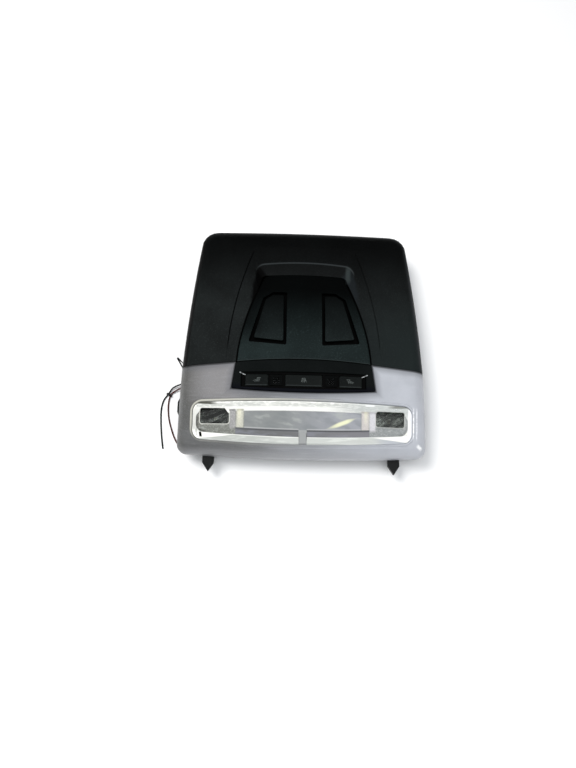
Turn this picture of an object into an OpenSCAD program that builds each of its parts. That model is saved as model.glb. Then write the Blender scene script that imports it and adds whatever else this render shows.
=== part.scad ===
// Interior light and switch console for a car roof, lying on its back with the visible face up.
// X runs across the console, Y towards its narrow dark end and Z out of the visible face.
// The origin is in the middle of the flat back, which is the plane Z = 0.

/* [Outline] */
// Width at the lamp end, where the sides are straight
lamp_end_w = 243.2; // [238:0.2:250]
// Width at the dark end
dark_end_w = 209.5; // [200:0.5:218]
// Outward bow of each long side
side_bow = 3.9; // [0.5:0.1:5]
// Distance from the origin to the dark end
dark_end_y = 125.7; // [121:0.1:132]
// How far the dark end bows out in the middle
dark_end_bow = 1; // [0:0.1:3]
// Distance from the origin to the lamp end
lamp_end_y = 112; // [110:0.5:118]
// How far the lamp end bows out in the middle
lamp_end_bow = 3.8; // [0:0.1:6]
// Corner radius at the dark end
dark_corner_r = 17; // [14:0.5:24]
// Corner radius at the lamp end
lamp_corner_r = 9; // [8:0.5:16]

/* [Crowned face] */
// Height of the highest point of the face
crown_z = 56; // [54:0.5:62]
// Place of the highest point along Y
peak_y = -20; // [-26:1:-14]
// Radius of the crown across the console
cross_r = 950; // [800:10:2000]
// Radius of the crown towards the dark end
dark_r = 1450; // [1000:10:3000]
// Radius of the crown towards the lamp end
lamp_r = 290; // [280:5:400]
// Height of the outer edge at the dark end, where the roll begins
dark_edge_z = 39; // [34:0.5:41]
// Height of the outer edge at the lamp end
lamp_edge_z = 26; // [25:0.5:30]
// Width of the rolled outer edge
roll_w = 12; // [9:0.5:12.5]
// Wall thickness of the moulded covers
wall = 2.2; // [1.6:0.1:2.6]
// Gap between two moulded covers
shut_gap = 0.5; // [0.4:0.05:0.8]

/* [Centre panel] */
// Width of the panel at the switch strip
panel_low_w = 131; // [127:0.5:134]
// Width of the panel at its far end
panel_high_w = 79.4; // [76:0.2:84]
// Distance from the origin to the far end of the panel
panel_top_y = 75.5; // [72:0.5:79]
// Bow of the far end of the panel
panel_top_bow = 1.5; // [0:0.1:3]
// Corner radius of the panel
panel_corner_r = 6; // [4:0.5:9]
// How far the panel dips below the crown at its far end
panel_dip = 7; // [4:0.5:8.5]
// Depth of the turned down edges of the panel and the recess
flange_h = 5; // [4:0.5:6]
// Width of the ledges that the panel and the strip rest on
ledge_w = 2.2; // [1.5:0.1:2.4]
// Thickness of those ledges
ledge_t = 1.4; // [1:0.1:2]

/* [Recess round the panel] */
// Width of the sloping wall beside the panel
rim_w = 9.6; // [7:0.2:12]
// Width of the sloping wall at the far end of the panel
rim_top_w = 11.5; // [9:0.5:14]
// Width of the flat edge that is left where the wall runs out
rim_min_w = 1.2; // [0.8:0.1:2]
// Width between the crease lines at the switch strip
crease_low_w = 151; // [147:0.5:158]
// Width between the crease lines at their far end
crease_high_w = 102; // [98:0.5:112]
// Distance from the origin to the far end of the crease
crease_top_y = 104; // [102:0.5:106]
// Height of the step at the crease
crease_step = 0.9; // [0.4:0.1:1.5]

/* [Blanking covers] */
// Depth of the wells
well_depth = 4; // [3:0.25:5]
// Distance from the middle to the straight side of a well
well_in_x = 17.5; // [15:0.5:20]
// Distance from the side of the panel to the low outer corner of a well
well_side = 10.5; // [8.5:0.5:12]
// Distance from the middle to the high outer corner of a well
well_out_high_x = 41.5; // [38:0.5:43]
// Near end of the wells
well_low_y = -4.1; // [-6:0.1:0]
// Far end of the wells
well_high_y = 54; // [50:0.5:57]
// Slant of the near side of a well
well_slant = 3; // [0:0.25:5]
// Length of the cut corner of a well along Y
well_cut_l = 7; // [4:0.5:10]
// Width of the cut corner of a well
well_cut_w = 10; // [6:0.5:13]
// Corner radius of a well
well_corner_r = 1.5; // [0.5:0.1:3]
// Wall round a well
well_wall = 1.5; // [1:0.1:2]
// Gap beside a cap at its straight side
cap_in_gap = 3; // [2:0.25:4]
// Gap beside a cap at its slanted side
cap_out_gap = 5.2; // [3:0.25:6]
// Gap at the far end of a cap
cap_end_gap = 3; // [2:0.25:4]
// Gap at the near end of a cap
cap_near_gap = 4.4; // [3:0.1:5]
// Bevel round the top of a cap
cap_bevel = 0.6; // [0.3:0.1:1]

/* [Switch strip] */
// Y of the corners at the panel side of the strip
strip_top_y = -22; // [-24:0.5:-20]
// Bow of the panel side of the strip
strip_top_bow = 3.4; // [2:0.1:5]
// Y of the corners at the lens side of the strip
strip_low_y = -48; // [-50:0.5:-47]
// Bow of the lens side of the strip
strip_low_bow = 3; // [1:0.1:4]
// Width of the strip at the lens side
strip_low_w = 138; // [134:0.5:142]
// Width of the shallow recess in the strip
strip_recess_w = 122; // [119:0.5:126]
// Depth of the shallow recess
strip_recess_depth = 1.5; // [1:0.1:2]
// Y of the side of the recess nearest the panel
strip_recess_top_y = -32; // [-33:0.25:-29]
// Y of the side of the recess nearest the lens
strip_recess_low_y = -46.8; // [-47.2:0.1:-46.4]

/* [Push buttons] */
// Width of a reading light button
reading_button_w = 22.2; // [19:0.2:23]
// Distance from the middle to a reading light button
reading_button_x = 45.4; // [44.5:0.1:46.5]
// Width of the middle button
centre_button_w = 35.8; // [32:0.2:36.2]
// Y of the middle of the row of buttons
button_row_y = -39.6; // [-40:0.1:-39.2]
// Depth of each button along Y
button_l = 11; // [9:0.2:11.6]
// Clearance between a button and its opening
button_gap = 0.35; // [0.3:0.05:0.5]
// Travel of a button
button_travel = 1.2; // [0.8:0.1:1.4]
// Height of a button above the floor of the strip
button_proud = 0.7; // [0.4:0.1:1.2]
// Wall of a button
button_wall = 1.3; // [1:0.1:1.6]
// Radius of a button's stem
stem_r = 2.2; // [1.8:0.1:2.6]

/* [Microphones] */
// Distance from the middle to a microphone grille
grille_x = 26.6; // [26.4:0.1:26.8]
// Width of a microphone grille
grille_w = 11.6; // [10.6:0.2:12.2]
// Radius of a microphone capsule
capsule_r = 3.6; // [3:0.1:4]
// Height of a microphone capsule
capsule_h = 4; // [3:0.25:5]

/* [Lens] */
// Width of the bezel beside the lens
lens_side = 15.6; // [14.6:0.2:18]
// Y of the panel side of the lens, at the middle
lens_top_y = -59.6; // [-61:0.2:-58]
// Bow of the panel side of the lens
lens_top_bow = 2.2; // [0:0.1:3]
// Y of the other side of the lens, at the middle
lens_low_y = -100.5; // [-102:0.5:-98]
// Bow of that side
lens_low_bow = 4.6; // [3:0.1:6]
// Corner radius of the lens
lens_corner_r = 9; // [7:0.5:11]
// Gap between the lens and the bezel
lens_gap = 0.3; // [0.2:0.05:0.5]
// Width of the sloping bands of the lens
lens_band_w = 8; // [6:0.25:9]
// Depth of the dished middle of the lens
lens_dish = 5; // [3:0.25:6]
// Thickness of the lens
lens_t = 1.8; // [1.4:0.1:2.2]
// How far the rim of the lens lies below the crown
lens_sink = 0.8; // [0.4:0.1:1.4]
// Height of the lip round the lens
lip_h = 0.7; // [0.3:0.1:1.2]
// Width of the lip round the lens
lip_w = 2.6; // [2:0.1:3.2]
// Depth at which the lens sits on the ledge of the bezel
seat_depth = 7; // [6.4:0.2:8]
// Distance from the end of the lens to a reading window
window_side = 8; // [7:0.5:12]
// Width of a reading window
window_w = 26; // [22:0.5:28]
// Y of the panel side of the reading windows
window_top_y = -68; // [-69:0.25:-67.5]
// Y of the other side of the reading windows
window_low_y = -81; // [-83:0.5:-79]
// Distance from a reading window to the bright bar of the diffuser
bar_gap = 7.3; // [5:0.1:9]
// Width of the bright bars of the diffuser
bar_w = 7.2; // [5:0.2:9]
// Y of the lamp end of the diffuser
diffuser_low_y = -86; // [-87:0.5:-84]
// Thickness of the diffuser
diffuser_t = 4; // [2:0.5:5]
// Width of the rib in the middle of the lens
lens_rib_w = 7.4; // [5:0.2:9]
// Distance between two of the middle lamps
led_pitch = 24; // [20:1:28]

/* [Back housing] */
// Height of the top of the flange, on which the covers stand
flange_z = 22; // [20:0.5:24]
// Thickness of the flange
flange_t = 2; // [1.6:0.2:3]
// Thickness of the back
back_t = 3; // [2.4:0.2:4]
// Wall thickness of the tray
tray_wall = 2.2; // [1.8:0.1:3]
// Width of the flange beside the tray
tray_side = 20; // [18:0.5:24]
// Distance from the origin to each end of the tray
tray_end_y = 98; // [94:0.5:100]
// Corner radius of the tray
tray_corner_r = 10; // [7:0.5:14]
// Width of the ribs on the back
rib_w = 6; // [4:0.5:9]
// Depth of the panels between the ribs
pocket_depth = 1.2; // [0.6:0.2:1.4]
// Width of a locating tongue
tongue_w = 11.2; // [9:0.2:13]
// Distance from a long side to the middle of a tongue
tongue_side = 30.4; // [27:0.2:34]
// Reach of a tongue beyond the lamp end
tongue_reach = 12.3; // [9:0.3:15]
// Thickness of a tongue
tongue_t = 4.6; // [3:0.2:6]
// Reach of a side lug beyond the flange
lug_reach = 5.5; // [4:0.5:7]
// Length of a side lug
lug_l = 26; // [20:0.5:30]
// Length of the slanting shoulder at each end of a side lug
lug_shoulder_l = 8; // [4:0.5:9]
// Y of the middle of the side lugs
lug_y = -61; // [-66:1:-56]
// Thickness of the webs under the flange
web_t = 1.6; // [1.2:0.2:2.4]
// Height of the webs under the flange
web_h = 9; // [5:0.5:12]

/* [Fastening] */
// Radius of the screw bosses
boss_r = 3.6; // [3.2:0.1:4]
// Radius of the bores for the screws
screw_bore_r = 1.5; // [1.3:0.1:1.7]
// Radius of the screw heads
screw_head_r = 2.9; // [2.5:0.1:3.2]
// Height of the screw heads
screw_head_h = 2; // [1.4:0.2:2.4]
// Length of the screws below the head
screw_l = 10; // [8:0.5:12]

/* [Circuit board] */
// Height of the underside of the board
board_z = 31; // [29:0.5:32]
// Thickness of the board
board_t = 1.6; // [1.2:0.2:1.8]
// Distance from the side of the tray to the board
board_side = 3.6; // [2.6:0.2:6]
// Y of the board's edge at the panel side
board_top_y = -26; // [-28:0.5:-20]
// Y of the board's edge at the lamp end
board_low_y = -95; // [-97:0.5:-94]
// Width of a switch body
switch_w = 6.2; // [5:0.2:7]
// Height of a switch body
switch_h = 3.6; // [3.2:0.2:4]
// Radius of a switch plunger
plunger_r = 1.7; // [1.3:0.1:2]
// Reach of a plunger above its switch
plunger_reach = 2; // [1.8:0.1:2.6]
// Clearance round a plunger
plunger_gap = 0.3; // [0.25:0.05:0.4]

/* [Connector] */
// Width of the connector
header_w = 26; // [24:1:30]
// Height of the connector
header_h = 12; // [10:0.5:13]
// Depth of the socket
socket_depth = 12; // [9:0.5:14]
// Wall of the socket
socket_wall = 1.6; // [1.2:0.1:2]
// Number of pins in a row
pins_in_row = 5; // [3:1:6]
// Distance between two pins, and between the two rows
pin_pitch = 4; // [3:0.25:4]
// Width of a square pin
pin_w = 1; // [0.6:0.1:1.2]
// Reach of the pins into the socket
pin_reach = 7; // [5:0.5:9]
// Wall behind the socket
header_back = 4; // [3:0.5:6]

/* [Spring clip and leads] */
// Thickness of the spring strip
clip_t = 0.8; // [0.5:0.1:1.2]
// Width of the spring strip
clip_w = 5; // [4:0.5:7]
// Reach of the spring clip beyond the flange
clip_reach = 11; // [8:0.5:12]
// Length of the spring clip
clip_l = 21.5; // [18:0.5:24]
// Y of the near end of the spring clip
clip_low_y = -30; // [-33:0.5:-26]
// Diameter of a lead
lead_d = 1.6; // [1.2:0.1:2]
// Height at which the leads leave the housing
lead_exit_z = 8; // [6:0.5:10]
// Height of the pad that the leads come out of, beside the tray
lead_pad_reach = 3.4; // [2.4:0.1:5]

/* [Hidden] */

// Small gaps and overlaps
seat_gap = 0.15;
edge_drop = 0.4;
overlap = 0.5;
small = 0.01;

// Rings of the rolled edge, as angles of its quarter turn
roll_angles = [0, 18, 36, 54, 72, 90];
side_stations = 8;
corner_stations = 5;
end_stations = 5;

// Colours as the photograph shows them
dark_grained = [0.12, 0.135, 0.14];
near_black = [0.06, 0.065, 0.07];
pearl = [0.74, 0.74, 0.79];
clear_white = [0.93, 0.94, 0.95, 0.75];
board_green = [0.1, 0.3, 0.2];
metal = [0.72, 0.73, 0.75];

// Points of the leads, laid on the surface that the part lies on
black_lead_path = [
    [-101, -32.5, 8], [-108, -31.5, 7.4], [-117, -31, 6.4], [-124, -32.5, 5], [-133, -36, 2.6],
    [-138, -43, 1.6], [-142.5, -50, 1], [-144.2, -60, 0.9], [-143.6, -72, 0.9], [-142, -86, 0.9],
    [-139.6, -100, 0.9]
];
red_lead_path = [
    [-101, -35.5, 8], [-108, -35.5, 7.4], [-117, -36, 6], [-125, -37, 4], [-131.5, -40, 2.2],
    [-135.6, -44.4, 1.6], [-137.2, -54, 1], [-136, -67, 0.9], [-132.6, -79, 0.9], [-128, -90, 0.9],
    [-122, -98.5, 0.9], [-115, -103, 0.9], [-107, -104, 0.9]
];
// Middle of the tie, turned to lie across the two leads
tie_middle = [-136.8, -43.7, 1.6];
tie_turn = -28;
tie_slack = 1.8;
tie_room = 0.4;
tie_wall = 0.5;
tie_l = 1.8;

function lerp(a, b, t) = a + (b - a) * t;
function clamp01(t) = min(1, max(0, t));

// Plan of the outline
side_low_y = -lamp_end_y + roll_w;
function side_x(y) =
    let (t = (y - side_low_y) / (dark_end_y - side_low_y))
    lerp(lamp_end_w, dark_end_w, t) / 2 + 4 * side_bow * t * (1 - t);
function dark_edge_y(x) = dark_end_y - dark_end_bow * pow(2 * x / dark_end_w, 2);
function lamp_edge_y(x) = -lamp_end_y + lamp_end_bow * pow(2 * x / lamp_end_w, 2);
function junction_y(x) = strip_top_y - (x - panel_low_w / 2) * junction_slope;
junction_slope = 0.083;
least_corner_r = 0.6;

// Distance from a point to the outline, rounded at the corners
dark_corner_x = side_x(dark_end_y - dark_corner_r) - dark_corner_r;
dark_corner_y = dark_edge_y(dark_corner_x) - dark_corner_r;
lamp_corner_x = side_x(side_low_y) - lamp_corner_r;
lamp_corner_y = lamp_edge_y(lamp_corner_x) + lamp_corner_r;
function corner_distance(dx, dy, r) = dx > 0 && dy > 0 ? r - norm([dx, dy]) : dy > 0 ? r - dy : lamp_end_w;
function edge_distance(x, y) =
    y > 0
    ? min(side_x(y) - abs(x), corner_distance(abs(x) - dark_corner_x, y - dark_corner_y, dark_corner_r),
        dark_edge_y(x) - y)
    : min(side_x(y) - abs(x), corner_distance(abs(x) - lamp_corner_x, lamp_corner_y - y, lamp_corner_r),
        y - lamp_edge_y(x));

// Height of the crowned face, of the outer edge and of the face with its rolled edge
function crown(x, y) =
    crown_z - x * x / (2 * cross_r)
    - pow(max(0, y - peak_y), 2) / (2 * dark_r) - pow(min(0, y - peak_y), 2) / (2 * lamp_r);
function edge_z(y) =
    let (start = junction_y(lamp_end_w / 2))
    lerp(dark_edge_z, lamp_edge_z, clamp01((start - y) / (lamp_end_y + start)));
function skin(x, y) =
    let (k = clamp01(edge_distance(x, y) / roll_w))
    lerp(edge_z(y), crown(x, y), sqrt(1 - pow(1 - k, 2)));
function boss_top(p) =
    min([for (s = [[0, 1], [0, -1], [1, 0], [-1, 0]]) skin(p.x + s.x * boss_r, p.y + s.y * boss_r)]) - wall / 2;
function panel_face(x, y) = crown(x, y) - panel_dip * pow(max(0, y) / panel_top_y, 2);

// Plan of the centre panel
panel_side_power = 1.6;
function panel_side(y) =
    let (t = max(0, (y - strip_top_y) / (panel_top_y - strip_top_y)))
    (panel_low_w - (panel_low_w - panel_high_w) * pow(t, panel_side_power)) / 2;
function panel_end(x) = panel_top_y - panel_top_bow * pow(2 * x / panel_high_w, 2);

// Plan of the crease and of the rim of the recess
crease_side_power = 1.87;
function crease_side(y) =
    let (t = max(0, (y - strip_top_y) / (crease_top_y - strip_top_y)))
    (crease_low_w - (crease_low_w - crease_high_w) * pow(t, crease_side_power)) / 2;
rim_start_y = 8;
function rim_side(y) =
    panel_side(y) + rim_min_w
    + rim_w * sin(90 * clamp01((y - rim_start_y) / (panel_top_y - rim_start_y)));
function rim_end(x) = panel_end(x) + rim_top_w;
crease_fade = 30;
crease_end_fade = 8;
function crease_depth(y) =
    crease_step * clamp01((y - strip_top_y) / crease_fade) * clamp01((crease_top_y - y) / crease_end_fade);

// Plan of the switch strip
strip_slope = (strip_low_w - panel_low_w) / 2 / (strip_top_y - strip_low_y);
function strip_side(y) = panel_low_w / 2 + (strip_top_y - y) * strip_slope;
function strip_top(x) = strip_top_y + strip_top_bow * (1 - pow(2 * x / panel_low_w, 2));
function strip_low(x) = strip_low_y - strip_low_bow * (1 - pow(2 * x / strip_low_w, 2));
function strip_floor(x, y) = crown(x, y) - strip_recess_depth;

// Plan of the lens
lens_w = lamp_end_w - 2 * lens_side;
lens_corner_x = lens_w / 2 - lens_corner_r;
function lens_top(x) = lens_top_y - lens_top_bow * pow(2 * x / lens_w, 2);
function lens_low(x) = lens_low_y + lens_low_bow * pow(2 * x / lens_w, 2);
function lens_arc(x, gap) =
    let (dx = max(0, abs(x) - lens_corner_x), r = lens_corner_r - gap)
    gap + r - sqrt(max(0, r * r - dx * dx));
function lens_upper(x, gap) = lens_top(min(abs(x), lens_corner_x)) - lens_arc(x, gap);
function lens_lower(x, gap) = lens_low(min(abs(x), lens_corner_x)) + lens_arc(x, gap);
lens_floor_depth = lens_sink + lens_dish;
lens_back_depth = lens_floor_depth + lens_t;
lip_foot_w = lip_w + 0.8;
window_out_x = lens_w / 2 - window_side;
window_in_x = window_out_x - window_w;
diffuser_out_x = window_in_x - bar_gap;
diffuser_in_x = diffuser_out_x - bar_w;

// Plan of the tray of the back housing
function tray_x(y) = lerp(lamp_end_w, dark_end_w, (y + tray_end_y) / (2 * tray_end_y)) / 2 - tray_side;
tray_outline = [
    [tray_x(-tray_end_y), -tray_end_y], [tray_x(tray_end_y), tray_end_y],
    [-tray_x(tray_end_y), tray_end_y], [-tray_x(-tray_end_y), -tray_end_y]
];

board_w = 2 * (tray_x(-tray_end_y) - board_side);
board_top_z = board_z + board_t;
switch_top_z = board_top_z + switch_h;
plunger_top_z = switch_top_z + plunger_reach;
header_y = -54;
header_z = 5;
header_out = 5;

// Bosses of the cover and of the bezel, and posts of the board
side_boss_ys = [8, 72];
end_boss_x = 46;
bezel_boss_ys = [-44, -82];
post_edge = 6;
post_side = 5.9;
post_x = tray_x(board_top_y - post_edge) - post_side;
cover_boss_spots = [for (s = [-1, 1]) for (y = side_boss_ys) [s * (tray_x(y) + side_x(y) - wall) / 2, y]];
cover_end_spots = [for (s = [-1, 1]) [s * end_boss_x, (tray_end_y + dark_end_y - wall) / 2]];
bezel_boss_spots = [for (s = [-1, 1]) for (y = bezel_boss_ys)
    [s * (lens_w / 2 + lip_foot_w + side_x(y) - wall) / 2, y]];
post_ys = [board_top_y - post_edge, board_low_y + post_edge];
board_post_spots = [for (s = [-1, 1]) for (y = post_ys) [s * post_x, y]];

// A point of the corner between two edges of an outline, rounded with radius r
function corner_arc(a, b, c, r, n) =
    let (u = (a - b) / norm(a - b), v = (c - b) / norm(c - b), half = acos(u * v) / 2,
        m = b + (u + v) / norm(u + v) * r / sin(half), p = b + u * r / tan(half) - m,
        turn = (180 - 2 * half) * sign(cross(b - a, c - b)))
    [for (k = [0:n]) let (w = turn * k / n) m + [p.x * cos(w) - p.y * sin(w), p.x * sin(w) + p.y * cos(w)]];
function rounded(points, r, n) =
    let (count = len(points))
    [for (i = [0:count - 1])
        each corner_arc(points[(i + count - 1) % count], points[i], points[(i + 1) % count], r, n)];
function backwards(points) = [for (k = [len(points) - 1:-1:0]) points[k]];

// A U of points round one end of the console: up one side, round the corner and along the end
function u_ring(side, tip, r, gap, dir) =
    let (cx = side(tip(side(0)) - dir * r) - r, cy = tip(cx) - dir * r,
        start = junction_y(side(strip_top_y)) + dir * gap,
        half = concat(
            [for (k = [0:side_stations - 1]) let (y = lerp(start, cy, k / side_stations)) [side(y), y]],
            [for (k = [0:corner_stations]) let (a = 90 * k / corner_stations)
                [cx + r * cos(a), cy + dir * r * sin(a)]],
            [for (k = [1:end_stations]) let (x = cx * (1 - k / end_stations)) [x, tip(x)]]))
    concat(half, [for (k = [len(half) - 2:-1:0]) [-half[k].x, half[k].y]]);
function lift(ring, height) = [for (p = ring) [p.x, p.y, height(p.x, p.y)]];
function between(a, b, t) = [for (k = [0:len(a) - 1]) lerp(a[k], b[k], t)];

// One rail of the rolled edge: the outer face, or the inner one when it is a wall further in
function roll_rail(angle, inset, dir) =
    let (d = inset + (roll_w - inset) * (1 - cos(angle)),
        side = function (y) side_x(y) - d,
        corner_r = max(least_corner_r, (dir > 0 ? dark_corner_r : lamp_corner_r) - d),
        ring = dir > 0
            ? u_ring(side, function (x) dark_edge_y(x) - d, corner_r, shut_gap / 2, dir)
            : u_ring(side, function (x) lamp_edge_y(x) + d, corner_r, shut_gap / 2, dir))
    lift(ring, function (x, y) lerp(edge_z(y), crown(x, y) - inset, sin(angle)));

// A closed shell between two grids of points
module rail_shell(outer, inner, flip) {
    rails = len(outer);
    n = len(outer[0]);
    base = rails * n;
    faces = concat(
        [for (i = [0:rails - 2]) for (j = [0:n - 2]) each [
            [i * n + j, i * n + j + 1, (i + 1) * n + j + 1], [i * n + j, (i + 1) * n + j + 1, (i + 1) * n + j],
            [base + i * n + j, base + (i + 1) * n + j + 1, base + i * n + j + 1],
            [base + i * n + j, base + (i + 1) * n + j, base + (i + 1) * n + j + 1]]],
        [for (i = [0:rails - 2]) each [
            [i * n, (i + 1) * n, base + (i + 1) * n], [i * n, base + (i + 1) * n, base + i * n],
            [(i + 2) * n - 1, (i + 1) * n - 1, base + (i + 1) * n - 1],
            [(i + 2) * n - 1, base + (i + 1) * n - 1, base + (i + 2) * n - 1]]],
        [for (j = [0:n - 2]) each [
            [j + 1, j, base + j], [j + 1, base + j, base + j + 1],
            [base - n + j, base - n + j + 1, 2 * base - n + j + 1],
            [base - n + j, 2 * base - n + j + 1, 2 * base - n + j]]]);
    polyhedron(
        points = concat([for (rail = outer) each rail], [for (rail = inner) each rail]),
        faces = flip ? [for (f = faces) [f[0], f[2], f[1]]] : faces, convexity = 8);
}

// A solid lofted through closed loops that run anticlockwise, from the lowest to the highest
module loop_loft(loops, closed = false) {
    n = len(loops[0]);
    count = len(loops);
    last = closed ? count - 1 : count - 2;
    low = [for (axis = [0:2]) [for (p = loops[0]) p[axis]] * [for (p = loops[0]) 1] / n];
    high = [for (axis = [0:2]) [for (p = loops[count - 1]) p[axis]] * [for (p = loops[0]) 1] / n];
    sides = [for (k = [0:last]) for (i = [0:n - 1])
        let (up = ((k + 1) % count) * n, here = k * n, next = (i + 1) % n)
        each [[here + i, up + i, up + next], [here + i, up + next, here + next]]];
    caps = closed ? [] : [for (i = [0:n - 1]) each [
        [count * n, i, (i + 1) % n],
        [count * n + 1, (count - 1) * n + (i + 1) % n, (count - 1) * n + i]]];
    polyhedron(
        points = concat([for (loop = loops) each loop], closed ? [] : [low, high]),
        faces = concat(sides, caps), convexity = 8);
}

module plate(points, z, h) {
    translate([0, 0, z]) linear_extrude(height = h) polygon(points);
}

module rod(spot, z, r, h) {
    translate([spot.x, spot.y, z]) cylinder(r = r, h = h, $fn = 48);
}

module box(x, y, z, w, l, h) {
    translate([x - w / 2, y - l / 2, z]) cube([w, l, h]);
}

ledge_depth = flange_h + seat_gap;

module console_cover() {
    far = len(roll_angles) - 1;
    crease = u_ring(function (y) crease_side(y), function (x) crease_top_y, 5, shut_gap / 2, 1);
    crease_out = u_ring(function (y) crease_side(y) + overlap, function (x) crease_top_y + overlap, 5 + overlap,
        shut_gap / 2, 1);
    rim = u_ring(function (y) rim_side(y), function (x) rim_end(x), panel_corner_r + 3, shut_gap / 2, 1);
    foot = u_ring(function (y) panel_side(y), function (x) panel_end(x), panel_corner_r, shut_gap / 2, 1);
    foot_back = u_ring(function (y) panel_side(y) + wall, function (x) panel_end(x) + wall,
        panel_corner_r + wall, shut_gap / 2, 1);
    tip = u_ring(function (y) panel_side(y) - ledge_w, function (x) panel_end(x) - ledge_w,
        panel_corner_r - ledge_w, shut_gap / 2, 1);
    outer = concat(
        [lift(roll_rail(0, 0, 1), function (x, y) flange_z)],
        [for (a = roll_angles) roll_rail(a, 0, 1)],
        [lift(crease_out, function (x, y) crown(x, y)),
            lift(crease, function (x, y) crown(x, y) - crease_depth(y)),
            lift(rim, function (x, y) crown(x, y) - crease_depth(y)),
            lift(foot, function (x, y) panel_face(x, y) + edge_drop / 2),
            lift(foot, function (x, y) panel_face(x, y) - ledge_depth),
            lift(tip, function (x, y) panel_face(x, y) - ledge_depth)]);
    inner = concat(
        [lift(roll_rail(0, wall, 1), function (x, y) flange_z)],
        [for (a = roll_angles) roll_rail(a, wall, 1)],
        [lift(crease_out, function (x, y) crown(x, y) - wall),
            lift(crease, function (x, y) crown(x, y) - crease_depth(y) - wall),
            lift(rim, function (x, y) crown(x, y) - crease_depth(y) - wall),
            lift(foot_back, function (x, y) panel_face(x, y) - wall),
            lift(foot_back, function (x, y) panel_face(x, y) - ledge_depth - ledge_t),
            lift(tip, function (x, y) panel_face(x, y) - ledge_depth - ledge_t)]);
    spots = concat(cover_boss_spots, cover_end_spots);
    color(dark_grained) difference() {
        union() {
            rail_shell(outer, inner, true);
            for (p = spots) rod(p, flange_z, boss_r, boss_top(p) - flange_z);
        }
        for (p = spots) rod(p, flange_z - 1, screw_bore_r, screw_l + 2);
    }
}

// A closed loop round the lens, grown by a distance, and lifted to a depth below the face
function lens_loop(grow, depth) =
    let (r = lens_corner_r + grow,
        half = concat(
            [for (k = [0:end_stations - 1]) let (x = lens_corner_x * k / end_stations) [x, lens_low(x) - grow]],
            [for (k = [0:corner_stations]) let (a = -90 + 90 * k / corner_stations)
                [lens_corner_x + r * cos(a), lens_low(lens_corner_x) + lens_corner_r + r * sin(a)]],
            [for (k = [0:corner_stations]) let (a = 90 * k / corner_stations)
                [lens_corner_x + r * cos(a), lens_top(lens_corner_x) - lens_corner_r + r * sin(a)]],
            [for (k = [end_stations - 1:-1:0]) let (x = lens_corner_x * k / end_stations)
                [x, lens_top(x) + grow]]))
    [for (p = concat(half, [for (k = [len(half) - 2:-1:1]) [-half[k].x, half[k].y]]))
        [p.x, p.y, skin(p.x, p.y) - depth]];

seat_w = 1.6;
seat_t = 1.4;
notch_r = 1.5;

module lamp_bezel() {
    function round_strip(grow, r) =
        u_ring(function (y) strip_side(y) + grow, function (x) strip_low(x) - grow, r, shut_gap / 2, -1);
    notch = round_strip(shut_gap, notch_r);
    notch_edge = round_strip(shut_gap + edge_drop, notch_r + edge_drop);
    notch_back = round_strip(shut_gap + wall, notch_r + wall);
    tip = round_strip(-ledge_w, notch_r / 3);
    roll_end = roll_rail(90, 0, -1);
    roll_back = roll_rail(90, wall, -1);
    flat_edge = [for (p = roll_end) [p.x, p.y]];
    outer = concat(
        [lift(roll_rail(0, 0, -1), function (x, y) flange_z)],
        [for (a = roll_angles) roll_rail(a, 0, -1)],
        [for (t = [1 / 3, 2 / 3]) lift(between(flat_edge, notch_edge, t), function (x, y) crown(x, y))],
        [lift(notch_edge, function (x, y) crown(x, y)),
            lift(notch, function (x, y) crown(x, y) - edge_drop),
            lift(notch, function (x, y) crown(x, y) - ledge_depth),
            lift(tip, function (x, y) crown(x, y) - ledge_depth)]);
    inner = concat(
        [lift(roll_rail(0, wall, -1), function (x, y) flange_z)],
        [for (a = roll_angles) roll_rail(a, wall, -1)],
        [for (t = [1 / 3, 2 / 3]) lift(between(flat_edge, notch_back, t), function (x, y) crown(x, y) - wall)],
        [lift(notch_back, function (x, y) crown(x, y) - wall),
            lift(notch_back, function (x, y) crown(x, y) - wall - edge_drop),
            lift(notch_back, function (x, y) crown(x, y) - ledge_depth - ledge_t),
            lift(tip, function (x, y) crown(x, y) - ledge_depth - ledge_t)]);
    lip = [
        lens_loop(lip_foot_w, seat_depth + seat_t), lens_loop(lip_foot_w, wall / 2), lens_loop(lip_w, -0.1),
        lens_loop(lip_w - 0.8, -lip_h), lens_loop(0.9, -lip_h), lens_loop(0, 0), lens_loop(0, seat_depth),
        lens_loop(-seat_w, seat_depth), lens_loop(-seat_w, seat_depth + seat_t)
    ];
    opening = [for (p = lens_loop(lip_w / 2, 0)) [p.x, p.y]];
    color(pearl) difference() {
        union() {
            difference() {
                rail_shell(outer, inner, false);
                plate(opening, flange_z + 2, crown_z);
            }
            loop_loft(lip, closed = true);
            for (p = bezel_boss_spots) rod(p, flange_z, boss_r, boss_top(p) - flange_z);
        }
        for (p = bezel_boss_spots) rod(p, flange_z - 1, screw_bore_r, screw_l + 2);
    }
}

// Plan of the wells and caps on the right, for gaps left inside the well
well_out_low_x = panel_low_w / 2 - well_side;
function well_plan(in_gap, out_gap, end_gap, near_gap) = rounded([
    [well_in_x + in_gap, well_low_y + near_gap], [well_out_low_x - out_gap, well_low_y + well_slant + near_gap],
    [well_out_high_x - out_gap / 2, well_high_y - well_cut_l - end_gap / 2],
    [well_out_high_x - well_cut_w, well_high_y - end_gap], [well_in_x + in_gap, well_high_y - end_gap]],
    well_corner_r, 2);
function on_panel(points, depth) = [for (p = points) [p.x, p.y, panel_face(p.x, p.y) - depth]];

module well_cut() {
    plan = well_plan(0, 0, 0, 0);
    loop_loft([on_panel(plan, well_depth), on_panel(plan, -well_depth)]);
}

module well_cup() {
    plan = well_plan(-well_wall, -well_wall, -well_wall, -well_wall);
    loop_loft([on_panel(plan, well_depth + well_wall), on_panel(plan, wall / 2)]);
}

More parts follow.
